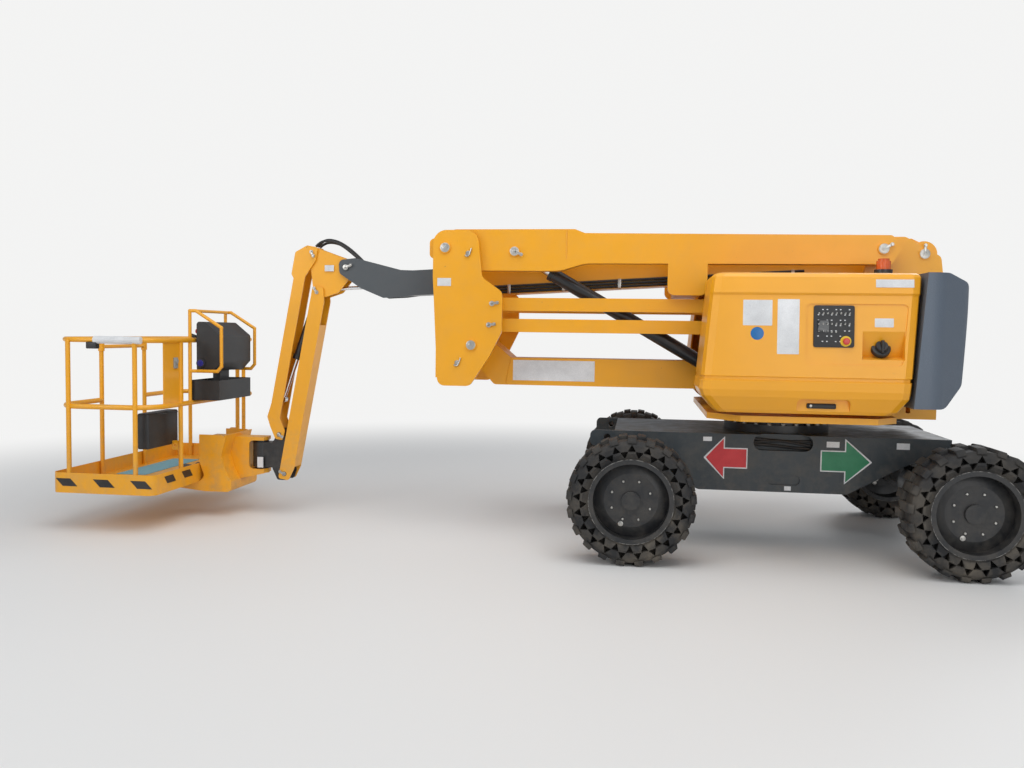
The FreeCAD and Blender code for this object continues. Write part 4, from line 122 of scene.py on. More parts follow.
lamps = [
    # name, place, size, power
    ("overhead", (-0.5, 2.5, 6.5), 6.0, 250),
    ("front_left", (5.5, 6.0, 3.5), 3.0, 105),
    ("behind", (-4.5, -5.5, 4.5), 4.0, 145),
    ("camera_side", (-4.0, 7.5, 2.6), 4.0, 96),
]
for name, spot, size, power in lamps:
    bpy.ops.object.light_add(type="AREA", location=spot)
    lamp = bpy.context.object
    lamp.name = name
    lamp.data.size = size
    lamp.data.energy = power
    aim = Vector((0, 0, 1.0)) - Vector(spot)
    lamp.rotation_euler = aim.to_track_quat("-Z", "Y").to_euler()

# Painted steel: arms, jib, basket and turret are yellow enamel over primer,
# sprayed after welding. A soft orange peel, a slight change of tone from panel
# to panel, road dust low down and on ledges, and a few small chips.


def group_socket(group, name, kind, way, value=None):
    made = group.interface.new_socket(name=name, in_out=way, socket_type=kind)
    if value is not None:
        made.default_value = value


def math_node(tree, operation, first, second=0.0, third=0.0):
    return node(tree, "ShaderNodeMath", {"operation": operation}, _0=first, _1=second, _2=third).outputs["Value"]


def spread(tree, value, low, high, to_low=0.0, to_high=1.0):
    return node(tree, "ShaderNodeMapRange", {"clamp": True}, Value=value, From_Min=low, From_Max=high,
                To_Min=to_low, To_Max=to_high).outputs["Result"]


def mixed(tree, share, first, second, kind="MIX"):
    made = node(tree, "ShaderNodeMix", {"data_type": "RGBA", "blend_type": kind})
    for number, value in ((0, share), (6, first), (7, second)):
        if isinstance(value, bpy.types.NodeSocket):
            tree.links.new(value, made.inputs[number])
        else:
            made.inputs[number].default_value = value
    return made.outputs[2]


paint_film = bpy.data.node_groups.new("paint_film", "ShaderNodeTree")
group_socket(paint_film, "Paint", "NodeSocketColor", "INPUT", (0.8, 0.4, 0.03, 1))
group_socket(paint_film, "Dust Colour", "NodeSocketColor", "INPUT", (0.30, 0.26, 0.20, 1))
group_socket(paint_film, "Dust", "NodeSocketFloat", "INPUT", 0.3)
group_socket(paint_film, "Chips", "NodeSocketFloat", "INPUT", 0.3)
group_socket(paint_film, "Gloss Roughness", "NodeSocketFloat", "INPUT", 0.3)
group_socket(paint_film, "Colour", "NodeSocketColor", "OUTPUT")
group_socket(paint_film, "Roughness", "NodeSocketFloat", "OUTPUT")
group_socket(paint_film, "Height", "NodeSocketFloat", "OUTPUT")
tree = paint_film
given = node(tree, "NodeGroupInput")
place = node(tree, "ShaderNodeTexCoord")
tone = node(tree, "ShaderNodeTexNoise", Vector=place.outputs["Object"], Scale=1.4, Detail=3.0)
tone_shade = spread(tree, tone.outputs["Fac"], 0.3, 0.7, 0.93, 1.03)
toned = node(tree, "ShaderNodeVectorMath", {"operation": "SCALE"}, _0=given.outputs["Paint"], Scale=tone_shade)
mottle = node(tree, "ShaderNodeTexNoise", Vector=place.outputs["Object"], Scale=9.0, Detail=6.0, Roughness=0.65)
streak_map = node(tree, "ShaderNodeMapping", Vector=place.outputs["Object"], Scale=(14.0, 14.0, 1.2))
streaks = node(tree, "ShaderNodeTexNoise", Vector=streak_map.outputs["Vector"], Scale=1.0, Detail=5.0)
height_up = node(tree, "ShaderNodeSeparateXYZ", Vector=place.outputs["Object"])
lowness = spread(tree, height_up.outputs["Z"], 0.15, 1.0, 1.0, 0.12)
facing = node(tree, "ShaderNodeSeparateXYZ", Vector=place.outputs["Normal"])
ledge = spread(tree, facing.outputs["Z"], 0.4, 0.95, 0.0, 0.8)
where = math_node(tree, "MAXIMUM", lowness, ledge)
cloud = spread(tree, mottle.outputs["Fac"], 0.42, 0.68)
run = spread(tree, streaks.outputs["Fac"], 0.48, 0.72)
cover = math_node(tree, "MULTIPLY", where, math_node(tree, "MAXIMUM", cloud, math_node(tree, "MULTIPLY", run, 0.6)))
dust_share = math_node(tree, "MULTIPLY", cover, given.outputs["Dust"])
dusty = mixed(tree, dust_share, toned.outputs["Vector"], given.outputs["Dust Colour"])
chip_grain = node(tree, "ShaderNodeTexNoise", Vector=place.outputs["Object"], Scale=46.0, Detail=8.0, Roughness=0.7)
chip_patch = node(tree, "ShaderNodeTexNoise", Vector=place.outputs["Object"], Scale=5.0, Detail=2.0)
chip_level = math_node(tree, "ADD", chip_grain.outputs["Fac"],
                       math_node(tree, "MULTIPLY", chip_patch.outputs["Fac"], 0.35))
chips = math_node(tree, "MULTIPLY", spread(tree, chip_level, 0.885, 0.90), given.outputs["Chips"])
chipped = mixed(tree, chips, dusty, (0.10, 0.085, 0.075, 1))
peel = node(tree, "ShaderNodeTexNoise", Vector=place.outputs["Object"], Scale=260.0, Detail=2.0)
rough = math_node(tree, "ADD", given.outputs["Gloss Roughness"], math_node(tree, "MULTIPLY", dust_share, 0.45))
rough = math_node(tree, "ADD", rough, spread(tree, mottle.outputs["Fac"], 0.3, 0.7, -0.04, 0.06))
film_height = math_node(tree, "SUBTRACT", math_node(tree, "MULTIPLY", peel.outputs["Fac"], 0.12), chips)
result = node(tree, "NodeGroupOutput", Colour=chipped, Roughness=rough, Height=film_height)


def painted(name, paint, dust, chips, roughness, coat, dust_colour=(0.30, 0.26, 0.20, 1)):
    """A sprayed enamel of one colour."""
    made = bpy.data.materials.new(name)
    made.use_nodes = True
    tree = made.node_tree
    film = node(tree, "ShaderNodeGroup", {"node_tree": paint_film})
    for key, value in (("Paint", paint), ("Dust Colour", dust_colour), ("Dust", dust), ("Chips", chips),
                       ("Gloss Roughness", roughness)):
        film.inputs[key].default_value = value
    bump = node(tree, "ShaderNodeBump", Strength=0.5, Distance=0.0008, Height=film.outputs["Height"])
    surface = tree.nodes["Principled BSDF"]
    surface.inputs["Coat Weight"].default_value = coat
    surface.inputs["Coat Roughness"].default_value = 0.12
    tree.links.new(film.outputs["Colour"], surface.inputs["Base Color"])
    tree.links.new(film.outputs["Roughness"], surface.inputs["Roughness"])
    tree.links.new(bump.outputs["Normal"], surface.inputs["Normal"])
    return made


yellow_enamel = painted("yellow_enamel", (0.88, 0.395, 0.010, 1), 0.42, 0.55, 0.36, 0.12)
slate_enamel = painted("slate_enamel", (0.028, 0.037, 0.044, 1), 0.55, 0.5, 0.42, 0.08, (0.17, 0.15, 0.12, 1))
grey_enamel = painted("grey_enamel", (0.070, 0.080, 0.088, 1), 0.25, 0.4, 0.38, 0.12, (0.2, 0.18, 0.15, 1))
weight_enamel = painted("weight_enamel", (0.095, 0.122, 0.160, 1), 0.30, 0.5, 0.45, 0.10, (0.24, 0.22, 0.18, 1))
black_enamel = painted("black_enamel", (0.012, 0.013, 0.015, 1), 0.35, 0.35, 0.34, 0.15, (0.13, 0.115, 0.095, 1))


def dress(names, finish):
    """Give CAD nodes their finish, in every slot they have."""
    for name in names:
        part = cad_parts[name]
        if not part.data.materials:
            part.data.materials.append(finish)
        for number in range(len(part.data.materials)):
            part.data.materials[number] = finish


dress(["lower_arm", "lower_tie_bars", "front_knuckle", "upper_arm", "upper_tie_bars", "rear_knuckle", "boom_outer",
       "jib_head", "jib_arm", "jib_tie_bar", "basket_mount", "basket_rails", "entry_bar", "turret_frame"],
      yellow_enamel)
dress(["chassis_frame"], slate_enamel)
dress(["boom_inner"], grey_enamel)
dress(["slew_ring", "axles", "steer_knuckle_left", "steer_knuckle_right", "jib_foot", "lift_cylinder_barrels",
       "boom_cylinder_barrel", "level_cylinder_barrel", "jib_cylinder_barrel"], black_enamel)

# Moulded and plain surfaces: rubber, plastic, cast iron, zinc and chrome share a
# fine grain, a slow change of tone and dust that settles low down and in the grain.
plain_skin = bpy.data.node_groups.new("plain_skin", "ShaderNodeTree")
group_socket(plain_skin, "Tint", "NodeSocketColor", "INPUT", (0.1, 0.1, 0.1, 1))
group_socket(plain_skin, "Dust Colour", "NodeSocketColor", "INPUT", (0.20, 0.17, 0.13, 1))
group_socket(plain_skin, "Dust", "NodeSocketFloat", "INPUT", 0.2)
group_socket(plain_skin, "Grain Scale", "NodeSocketFloat", "INPUT", 200.0)
group_socket(plain_skin, "Base Roughness", "NodeSocketFloat", "INPUT", 0.5)
group_socket(plain_skin, "Colour", "NodeSocketColor", "OUTPUT")
group_socket(plain_skin, "Roughness", "NodeSocketFloat", "OUTPUT")
group_socket(plain_skin, "Height", "NodeSocketFloat", "OUTPUT")
tree = plain_skin
given = node(tree, "NodeGroupInput")
place = node(tree, "ShaderNodeTexCoord")
grain = node(tree, "ShaderNodeTexNoise", Vector=place.outputs["Object"], Scale=given.outputs["Grain Scale"], Detail=4.0)
tone = node(tree, "ShaderNodeTexNoise", Vector=place.outputs["Object"], Scale=6.0, Detail=5.0, Roughness=0.6)
shade = math_node(tree, "MULTIPLY", spread(tree, tone.outputs["Fac"], 0.3, 0.7, 0.82, 1.15),
                  spread(tree, grain.outputs["Fac"], 0.3, 0.7, 0.90, 1.10))
tinted = node(tree, "ShaderNodeVectorMath", {"operation": "SCALE"}, _0=given.outputs["Tint"], Scale=shade)
rise = node(tree, "ShaderNodeSeparateXYZ", Vector=place.outputs["Object"])
near_ground = spread(tree, rise.outputs["Z"], 0.0, 0.9, 1.0, 0.25)
settled = math_node(tree, "MULTIPLY", spread(tree, tone.outputs["Fac"], 0.40, 0.66), near_ground)
settled = math_node(tree, "MULTIPLY", settled, given.outputs["Dust"])
coated = mixed(tree, settled, tinted.outputs["Vector"], given.outputs["Dust Colour"])
matte = math_node(tree, "ADD", given.outputs["Base Roughness"],
                  math_node(tree, "MULTIPLY", settled, 0.35))
matte = math_node(tree, "ADD", matte, spread(tree, grain.outputs["Fac"], 0.3, 0.7, -0.05, 0.05))
result = node(tree, "NodeGroupOutput", Colour=coated, Roughness=matte, Height=grain.outputs["Fac"])


def plain(name, tint, roughness, metallic=0.0, dust=0.2, grain_scale=200.0, relief=0.0004, coat=0.0):
    """A moulded, cast, plated or printed surface of one colour."""
    made = bpy.data.materials.new(name)
    made.use_nodes = True
    tree = made.node_tree
    skin = node(tree, "ShaderNodeGroup", {"node_tree": plain_skin})
    for key, value in (("Tint", tint), ("Dust", dust), ("Grain Scale", grain_scale), ("Base Roughness", roughness)):
        skin.inputs[key].default_value = value
    bump = node(tree, "ShaderNodeBump", Strength=0.6, Distance=relief, Height=skin.outputs["Height"])
    surface = tree.nodes["Principled BSDF"]
    surface.inputs["Metallic"].default_value = metallic
    surface.inputs["Coat Weight"].default_value = coat
    tree.links.new(skin.outputs["Colour"], surface.inputs["Base Color"])
    tree.links.new(skin.outputs["Roughness"], surface.inputs["Roughness"])
    tree.links.new(bump.outputs["Normal"], surface.inputs["Normal"])
    return made


tyre_rubber = plain("tyre_rubber", (0.017, 0.017, 0.018, 1), 0.72, dust=0.55, grain_scale=140.0, relief=0.0012)
black_plastic = plain("black_plastic", (0.020, 0.021, 0.023, 1), 0.48, dust=0.12, grain_scale=700.0)
hose_rubber = plain("hose_rubber", (0.016, 0.016, 0.017, 1), 0.55, dust=0.25, grain_scale=500.0)
zinc = plain("zinc", (0.52, 0.51, 0.48, 1), 0.34, metallic=1.0, dust=0.25, grain_scale=900.0, relief=0.0002)
chrome = plain("chrome", (0.78, 0.79, 0.80, 1), 0.10, metallic=1.0, dust=0.04, grain_scale=1500.0, relief=0.00003)
cast_iron = plain("cast_iron", (0.055, 0.055, 0.058, 1), 0.62, dust=0.4, grain_scale=180.0, relief=0.0015)
white_film = plain("white_film", (0.72, 0.73, 0.74, 1), 0.36, dust=0.18, grain_scale=300.0, relief=0.00005)
dress(["engine_block"], cast_iron)
dress(["console"], black_plastic)
dress(["lift_cylinder_rods", "boom_cylinder_rod", "level_cylinder_rod", "jib_cylinder_rod"], chrome)

# Tyres: one solid rubber casting pressed on its rim. Each sidewall is hollowed
# by two rows of rounded triangular pockets, one row between the other, and
# heavy lugs stand across the tread, half a pitch apart at the two edges.
wheels = [
    # name, place along X, place across Y
    ("front_left", 1.05, 0.9975), ("front_right", 1.05, -0.9975),
    ("rear_left", -1.05, 0.9975), ("rear_right", -1.05, -0.9975),
]
axle_height = 0.41783
lug_count = 21


def edit(piece, kind="FACE", test=None):
    """Open a piece for editing, with what passes a test on its place and direction selected."""
    clear()
    piece.select_set(True)
    bpy.context.view_layer.objects.active = piece
    bpy.ops.object.mode_set(mode="EDIT")
    bpy.ops.mesh.select_mode(type=kind)
    bpy.ops.mesh.select_all(action="SELECT" if test is None else "DESELECT")
    if test is None:
        return
    bpy.ops.object.mode_set(mode="OBJECT")
    mesh = piece.data
    if kind == "FACE":
        for face in mesh.polygons:
            face.select = test(face.center, face.normal)
    else:
        for edge in mesh.edges:
            start, end = (mesh.vertices[number].co for number in edge.vertices)
            edge.select = test((start + end) / 2, (end - start).normalized())
    bpy.ops.object.mode_set(mode="EDIT")


def done():
    bpy.ops.object.mode_set(mode="OBJECT")


def settle(piece):
    """Put a piece's place and turn into its mesh."""
    clear()
    piece.select_set(True)
    bpy.context.view_layer.objects.active = piece
    bpy.ops.object.transform_apply(location=True, rotation=True, scale=True)
    return piece


def copied(piece, matrix):
    """A copy with its own mesh, moved by a matrix."""
    twin = piece.copy()
    twin.data = piece.data.copy()
    bpy.context.collection.objects.link(twin)
    twin.matrix_world = matrix @ piece.matrix_world
    return settle(twin)


def joined(parts):
    clear()
    for part in parts:
        part.select_set(True)
    bpy.context.view_layer.objects.active = parts[0]
    if len(parts) > 1:
        bpy.ops.object.join()
    return parts[0]


def finished(name, parts, finish, body, smooth=35):
    """Join parts into one named piece with its finish, carried by a body."""
    piece = joined(parts)
    piece.name = name
    settle(piece)
    edit(piece)
    bpy.ops.mesh.normals_make_consistent(inside=False)
    done()
    bpy.ops.object.shade_smooth_by_angle(angle=math.radians(smooth))
    piece.data.materials.clear()
    piece.data.materials.append(finish)
    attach(piece, body)
    return piece


def bar(start, end, radius, ease=0.0, sides=24, steps=2):
    """A round bar between two points, its ends eased."""
    start, end = Vector(start), Vector(end)
    way = end - start
    clear()
    bpy.ops.mesh.primitive_cylinder_add(vertices=sides, radius=radius, depth=way.length, location=(start + end) / 2,
                                        rotation=way.to_track_quat("Z", "Y").to_euler())
    piece = settle(bpy.context.object)
    if ease:
        along = way.normalized()
        edit(piece, "EDGE", lambda place, line: abs(line.dot(along)) < 0.5)
        bpy.ops.mesh.bevel(offset=ease, segments=steps, affect="EDGES")
        done()
    return piece


across = Vector((0, 1, 0))
carcass = bar((0, -0.132, 0), (0, 0.132, 0), 0.3948, sides=126)
for side in (1, -1):
    edit(carcass, "FACE", lambda place, normal: normal.y * side > 0.9)
    bpy.ops.mesh.extrude_region_move(TRANSFORM_OT_translate={"value": (0, side * 0.0205, 0)})
    bpy.ops.transform.resize(value=(0.924, 1, 0.924), center_override=(0, side * 0.1525, 0))
    bpy.ops.mesh.inset(thickness=0.052)
    bpy.ops.mesh.inset(thickness=0.030)
    bpy.ops.transform.translate(value=(0, -side * 0.026, 0))
    bpy.ops.mesh.inset(thickness=0.0275)
    bpy.ops.mesh.delete(type="FACE")
    done()
edit(carcass, "EDGE", lambda place, line: abs(math.hypot(place.x, place.z) - 0.2552) < 0.006)
bpy.ops.mesh.bridge_edge_loops()
done()
edit(carcass, "EDGE", lambda place, line: abs(line.y) < 0.2 and math.hypot(place.x, place.z) > 0.35)
bpy.ops.mesh.bevel(offset=0.006, segments=2, affect="EDGES")
done()
pocket = bar((0, 0.09, 0), (0, 0.17, 0), 0.031, sides=3)
edit(pocket, "EDGE", lambda place, line: abs(line.y) > 0.9)
bpy.ops.mesh.bevel(offset=0.007, segments=3, affect="EDGES")
done()
pockets = []
pitch = 2 * math.pi / lug_count
for number in range(lug_count):
    for radius, part_turn, flip in ((0.343, 0.0, 0.0), (0.3125, 0.5, math.pi)):
        for side in (1, -1):
            angle = pitch * (number + part_turn + (0.0 if side > 0 else 0.5))
            place = Matrix.Rotation(angle, 4, across) @ Matrix.Translation((0, 0, radius)) \
                @ Matrix.Rotation(flip, 4, across)
            if side < 0:
                place = place @ Matrix.Rotation(math.pi, 4, Vector((0, 0, 1)))
            pockets.append(copied(pocket, place))
bpy.data.objects.remove(pocket)
pockets = joined(pockets)
hollow = carcass.modifiers.new("pockets", "BOOLEAN")
hollow.operation = "DIFFERENCE"
hollow.object = pockets
hollow.solver = "EXACT"
clear()
carcass.select_set(True)
bpy.context.view_layer.objects.active = carcass
bpy.ops.object.modifier_apply(modifier=hollow.name)
bpy.data.objects.remove(pockets)

# one lug, from just past the middle out over the shoulder, eased on its edges
clear()
bpy.ops.mesh.primitive_cube_add(size=1, location=(0, 0.068, 0.3995))
lug = bpy.context.object
lug.scale = (0.056, 0.166, 0.0366)
settle(lug)
edit(lug, "EDGE", lambda place, line: place.z > 0.41 and place.y > 0.14)
bpy.ops.mesh.bevel(offset=0.026, segments=2, affect="EDGES")
done()
edit(lug, "EDGE", lambda place, line: place.z > 0.395 and place.y < 0.16)
bpy.ops.mesh.bevel(offset=0.0035, segments=2, affect="EDGES")
done()
lugs = []
for number in range(lug_count):
    lugs.append(copied(lug, Matrix.Rotation(pitch * number, 4, across)))
    lugs.append(copied(lug, Matrix.Rotation(pitch * (number + 0.5), 4, across)
                       @ Matrix.Rotation(math.pi, 4, Vector((0, 0, 1)))))
bpy.data.objects.remove(lug)
tyre = joined([carcass] + lugs)
for name, along, out in wheels:
    place = Matrix.Translation((slew_x + along, out, axle_height))
    piece = finished("rubber_" + name, [copied(tyre, place)], tyre_rubber, "wheel_" + name, 30)
    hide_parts("tyre_" + name)
bpy.data.objects.remove(tyre)

# Wheels: pressed steel discs welded into rolled rims, sprayed black. The rim's
# lip is scuffed to bare steel, and eight zinc nuts on studs hold each hub.
rim_enamel = painted("rim_enamel", (0.013, 0.014, 0.016, 1), 0.40, 0.30, 0.40, 0.10, (0.13, 0.115, 0.095, 1))
tree = rim_enamel.node_tree
place = node(tree, "ShaderNodeTexCoord")
split = node(tree, "ShaderNodeSeparateXYZ", Vector=place.outputs["Object"])
from_axle = math_node(tree, "SUBTRACT", math_node(tree, "ABSOLUTE", math_node(tree, "SUBTRACT", split.outputs["X"], slew_x)), 1.05)
above_axle = math_node(tree, "SUBTRACT", split.outputs["Z"], axle_height)
radius = math_node(tree, "SQRT", math_node(tree, "ADD", math_node(tree, "MULTIPLY", from_axle, from_axle),
                                           math_node(tree, "MULTIPLY", above_axle, above_axle)))
scuff = node(tree, "ShaderNodeTexNoise", Vector=place.outputs["Object"], Scale=30.0, Detail=7.0, Roughness=0.7)
lip = math_node(tree, "MULTIPLY", spread(tree, radius, 0.2715, 0.2735), spread(tree, radius, 0.2760, 0.2750))
worn = math_node(tree, "MULTIPLY", lip, spread(tree, scuff.outputs["Fac"], 0.46, 0.56))
surface = tree.nodes["Principled BSDF"]
film = surface.inputs["Base Color"].links[0].from_socket
tree.links.new(mixed(tree, worn, film, (0.30, 0.29, 0.27, 1)), surface.inputs["Base Color"])
dress(["wheel_rim_" + name for name, along, out in wheels], rim_enamel)


def block(low, high, ease=0.0, steps=2):
    """A block between two corners, all its edges eased."""
    clear()
    bpy.ops.mesh.primitive_cube_add(size=1, location=[(a + b) / 2 for a, b in zip(low, high)])
    piece = bpy.context.object
    piece.scale = [b - a for a, b in zip(low, high)]
    settle(piece)
    if ease:
        edit(piece, "FACE")
        bpy.ops.mesh.bevel(offset=ease, segments=steps, affect="EDGES")
        done()
    return piece


# one nut on its stud, with a flange under it, pointing up
flange = bar((0, 0, 0), (0, 0, 0.004), 0.017, 0.0012)
nut = bar((0, 0, 0.003), (0, 0, 0.020), 0.0145, 0.002, sides=6, steps=1)
stud = bar((0, 0, 0.018), (0, 0, 0.032), 0.0075, 0.0015, sides=14, steps=1)
wheel_nut = joined([flange, nut, stud])
for name, along, out in wheels:
    side = 1 if out > 0 else -1
    face = out + side * (0.1525 - 0.085)
    nuts = []
    for number in range(8):
        angle = math.radians(22.5 + 45 * number)
        spot = Vector((slew_x + along + 0.133 * math.cos(angle), face - side * 0.022, axle_height + 0.133 * math.sin(angle)))
        turn = (across * side).to_track_quat("Z", "X").to_matrix().to_4x4()
        nuts.append(copied(wheel_nut, Matrix.Translation(spot) @ turn))
    finished("nuts_" + name, nuts, zinc, "wheel_" + name, 30)
    # a plated oil plug low in the disc, and on the left a white tag by the hub cap
    low = Vector((slew_x + along + 0.064, face, axle_height - 0.154))
    plug = bar(low - across * side * 0.02, low + across * side * 0.006, 0.017, 0.002)
    key = bar(low, low + across * side * 0.014, 0.009, 0.001, sides=6, steps=1)
    finished("plug_" + name, [plug, key], zinc, "wheel_" + name)
    if side > 0:
        tag = block((slew_x + along - 0.080, face - 0.0225, axle_height - 0.048),
                    (slew_x + along - 0.055, face - 0.0195, axle_height - 0.008), 0.001)
        finished("tag_" + name, [tag], white_film, "wheel_" + name)
bpy.data.objects.remove(wheel_nut)


# Chassis signs: die-cut vinyl on the left flank. A red arrow points to the front
# and a green one to the rear, each with a white edge, beside small blank labels.
red_film = plain("red_film", (0.60, 0.022, 0.030, 1), 0.34, dust=0.15, grain_scale=300.0, relief=0.00005)
green_film = plain("green_film", (0.012, 0.20, 0.085, 1), 0.34, dust=0.15, grain_scale=300.0, relief=0.00005)
flank = 0.490


def arrow(tip, head, tail, middle, half_head, half_shaft, low, high):
    """A flat arrow on the left flank: a shaft whose end is opened into a head."""
    way = 1 if tip > head else -1
    first, last = sorted((slew_x + head, slew_x + tail))
    piece = block((first, low, middle - half_shaft), (last, high, middle + half_shaft))
    edit(piece, "FACE", lambda place, normal: normal.x * way > 0.9)
    bpy.ops.mesh.extrude_region_move(TRANSFORM_OT_translate={"value": (0, 0, 0)})
    bpy.ops.transform.resize(value=(1, 1, half_head / half_shaft), center_override=(slew_x + head, 0, middle))
    bpy.ops.mesh.extrude_region_move(TRANSFORM_OT_translate={"value": (tip - head, 0, 0)})
    bpy.ops.transform.resize(value=(1, 1, 0.02), center_override=(slew_x + tip, 0, middle))
    done()
    edit(piece, "EDGE", lambda place, line: abs(line.y) > 0.9)
    bpy.ops.mesh.bevel(offset=0.002, segments=2, affect="EDGES")
    done()
    return piece


arrows = [
    # name, finish, tip, head, tail, middle height, half head, half shaft
    ("arrow_front", red_film, 0.537, 0.418, 0.262, 0.640, 0.136, 0.064),
    ("arrow_rear", green_film, -0.560, -0.405, -0.245, 0.640, 0.142, 0.066),
]
for name, paint, tip, head, tail, middle, half_head, half_shaft in arrows:
    way = 1 if tip > head else -1
    edge = arrow(tip + way * 0.016, head - way * 0.008, tail - way * 0.008, middle, half_head + 0.016,
                 half_shaft + 0.008, flank - 0.0002, flank + 0.0010)
    finished(name + "_edge", [edge], white_film, "chassis")
    finished(name, [arrow(tip, head, tail, middle, half_head, half_shaft, flank + 0.0004, flank + 0.0018)], paint,
             "chassis")
labels = [
    # front, rear, bottom, top
    (-0.275, -0.360, 0.735, 0.775), (-0.735, -0.820, 0.735, 0.778), (0.0, -0.045, 0.425, 0.455),
    (0.560, 0.500, 0.755, 0.785),
]
blanks = [block((slew_x + rear, flank - 0.0002, low), (slew_x + front, flank + 0.0012, high), 0.0005, 1)
          for front, rear, low, high in labels]
finished("chassis_labels", blanks, white_film, "chassis")

# Chassis details: a pale cover behind the small slot, hydraulic hoses in the long
# slot, a ring of bolt heads round the slewing bearing and axle cover bolts.
cover = block((slew_x - 0.10, 0.470, 0.468), (slew_x + 0.112, 0.4765, 0.528), 0.002)
grey_film = plain("grey_film", (0.32, 0.34, 0.34, 1), 0.45, dust=0.3, grain_scale=260.0)
finished("slot_cover", [cover], grey_film, "chassis")


def hose(points, radius, turns=8):
    """A smooth bent hose or tube through the control points."""
    clear()
    bpy.ops.curve.primitive_nurbs_path_add(location=(0, 0, 0))
    line = bpy.context.object
    spline = line.data.splines[0]
    spline.points.add(max(0, len(points) - len(spline.points)))
    for point, spot in zip(spline.points, points):
        point.co = (spot[0], spot[1], spot[2], 1)
    while len(spline.points) > len(points):
        raise RuntimeError("a hose needs five points or more")
    spline.order_u = 4
    spline.use_endpoint_u = True
    line.data.resolution_u = turns
    line.data.bevel_depth = radius
    line.data.bevel_resolution = 3
    line.data.use_fill_caps = True
    bpy.ops.object.convert(target="MESH")
    return bpy.context.object


slot_hoses = []
for number, (low, dip) in enumerate(((0.725, 0.012), (0.745, 0.020), (0.770, -0.010))):
    slot_hoses.append(hose([(slew_x + along, 0.446 - 0.006 * number, low + dip * math.sin(along * 9 + number))
                            for along in (-0.19, -0.12, -0.05, 0.02, 0.09, 0.16, 0.215)], 0.011))
finished("slot_hoses", slot_hoses, hose_rubber, "chassis")

# one hex bolt head on its washer, pointing up
washer = bar((0, 0, -0.001), (0, 0, 0.003), 0.0155, 0.001, sides=20, steps=1)
head = bar((0, 0, 0.002), (0, 0, 0.0125), 0.0125, 0.0016, sides=6, steps=1)
hex_bolt = joined([washer, head])


def bolts(places, way, size=1.0):
    """Copies of the bolt head at some places, all pointing one way."""
    turn = Vector(way).to_track_quat("Z", "X").to_matrix().to_4x4()
    return [copied(hex_bolt, Matrix.Translation(Vector(spot)) @ turn @ Matrix.Scale(size, 4)) for spot in places]


ring_places = [(slew_x + 0.357 * math.cos(math.radians(a)), 0.357 * math.sin(math.radians(a)), 0.865)
               for a in range(0, 360, 15)]
finished("slew_ring_bolts", bolts(ring_places, (0, 0, 1), 1.1), zinc, "chassis", 30)
cover_bolts = []
for along in (1.05, -1.05):
    for number in range(12):
        angle = math.radians(30 * number)
        for side in (1, -1):
            cover_bolts += bolts([(slew_x + along + 0.122 * math.cos(angle), side * 0.098, axle_height + 0.122 * math.sin(angle))],
                                 (0, side, 0), 0.8)
finished("axle_cover_bolts", cover_bolts, zinc, "chassis", 30)

# Hoods: moulded in yellow plastic with a fine grain in the gel coat, and the
# counterweights behind them are rough iron castings painted blue grey.
hood_skin = painted("hood_skin", (0.88, 0.385, 0.010, 1), 0.22, 0.10, 0.34, 0.15)
dress(["hood_left", "hood_right"], hood_skin)
basket_enamel = painted("basket_enamel", (0.88, 0.395, 0.010, 1), 0.30, 0.6, 0.36, 0.12)
dress(["basket_floor"], basket_enamel)
tree = weight_enamel.node_tree
place = node(tree, "ShaderNodeTexCoord")
sand = node(tree, "ShaderNodeTexNoise", Vector=place.outputs["Object"], Scale=90.0, Detail=5.0, Roughness=0.7)
cast = node(tree, "ShaderNodeBump", Strength=0.7, Distance=0.003, Height=sand.outputs["Fac"])
tree.links.new(cast.outputs["Normal"], tree.nodes["Bump"].inputs["Normal"])
dress(["counterweight"], weight_enamel)

# Ground controls on the left hood: a black panel with rows of switches, a red
# stop button on a yellow plate, the latch's knob in its scoop, and the handle.
side_slope = math.atan2(0.042, 0.511)


def on_side(along, height, proud=0.0):
    """A point on the left hood's upper side, which leans in towards its top."""
    return Vector((slew_x + along, 1.100 - 0.042 * (height - 1.242) / 0.511 + proud, height))


def side_plate(front, rear, low, high, proud, thick, ease, side_round=0.0):
    """A thin plate laid on the hood's leaning side."""
    middle = on_side((front + rear) / 2, (low + high) / 2, proud)
    clear()
    bpy.ops.mesh.primitive_cube_add(size=1, location=(0, 0, 0))
    piece = bpy.context.object
    piece.scale = (front - rear, thick, (high - low) / math.cos(side_slope))
    settle(piece)
    if side_round:
        edit(piece, "EDGE", lambda place, line: abs(line.y) > 0.9)
        bpy.ops.mesh.bevel(offset=side_round, segments=5, affect="EDGES")
        done()
    edit(piece, "EDGE", lambda place, line: place.y > 0 and abs(line.y) < 0.1)
    bpy.ops.mesh.bevel(offset=ease, segments=2, affect="EDGES")
    done()
    piece.matrix_world = Matrix.Translation(middle) @ Matrix.Rotation(side_slope, 4, "X")
    return settle(piece)


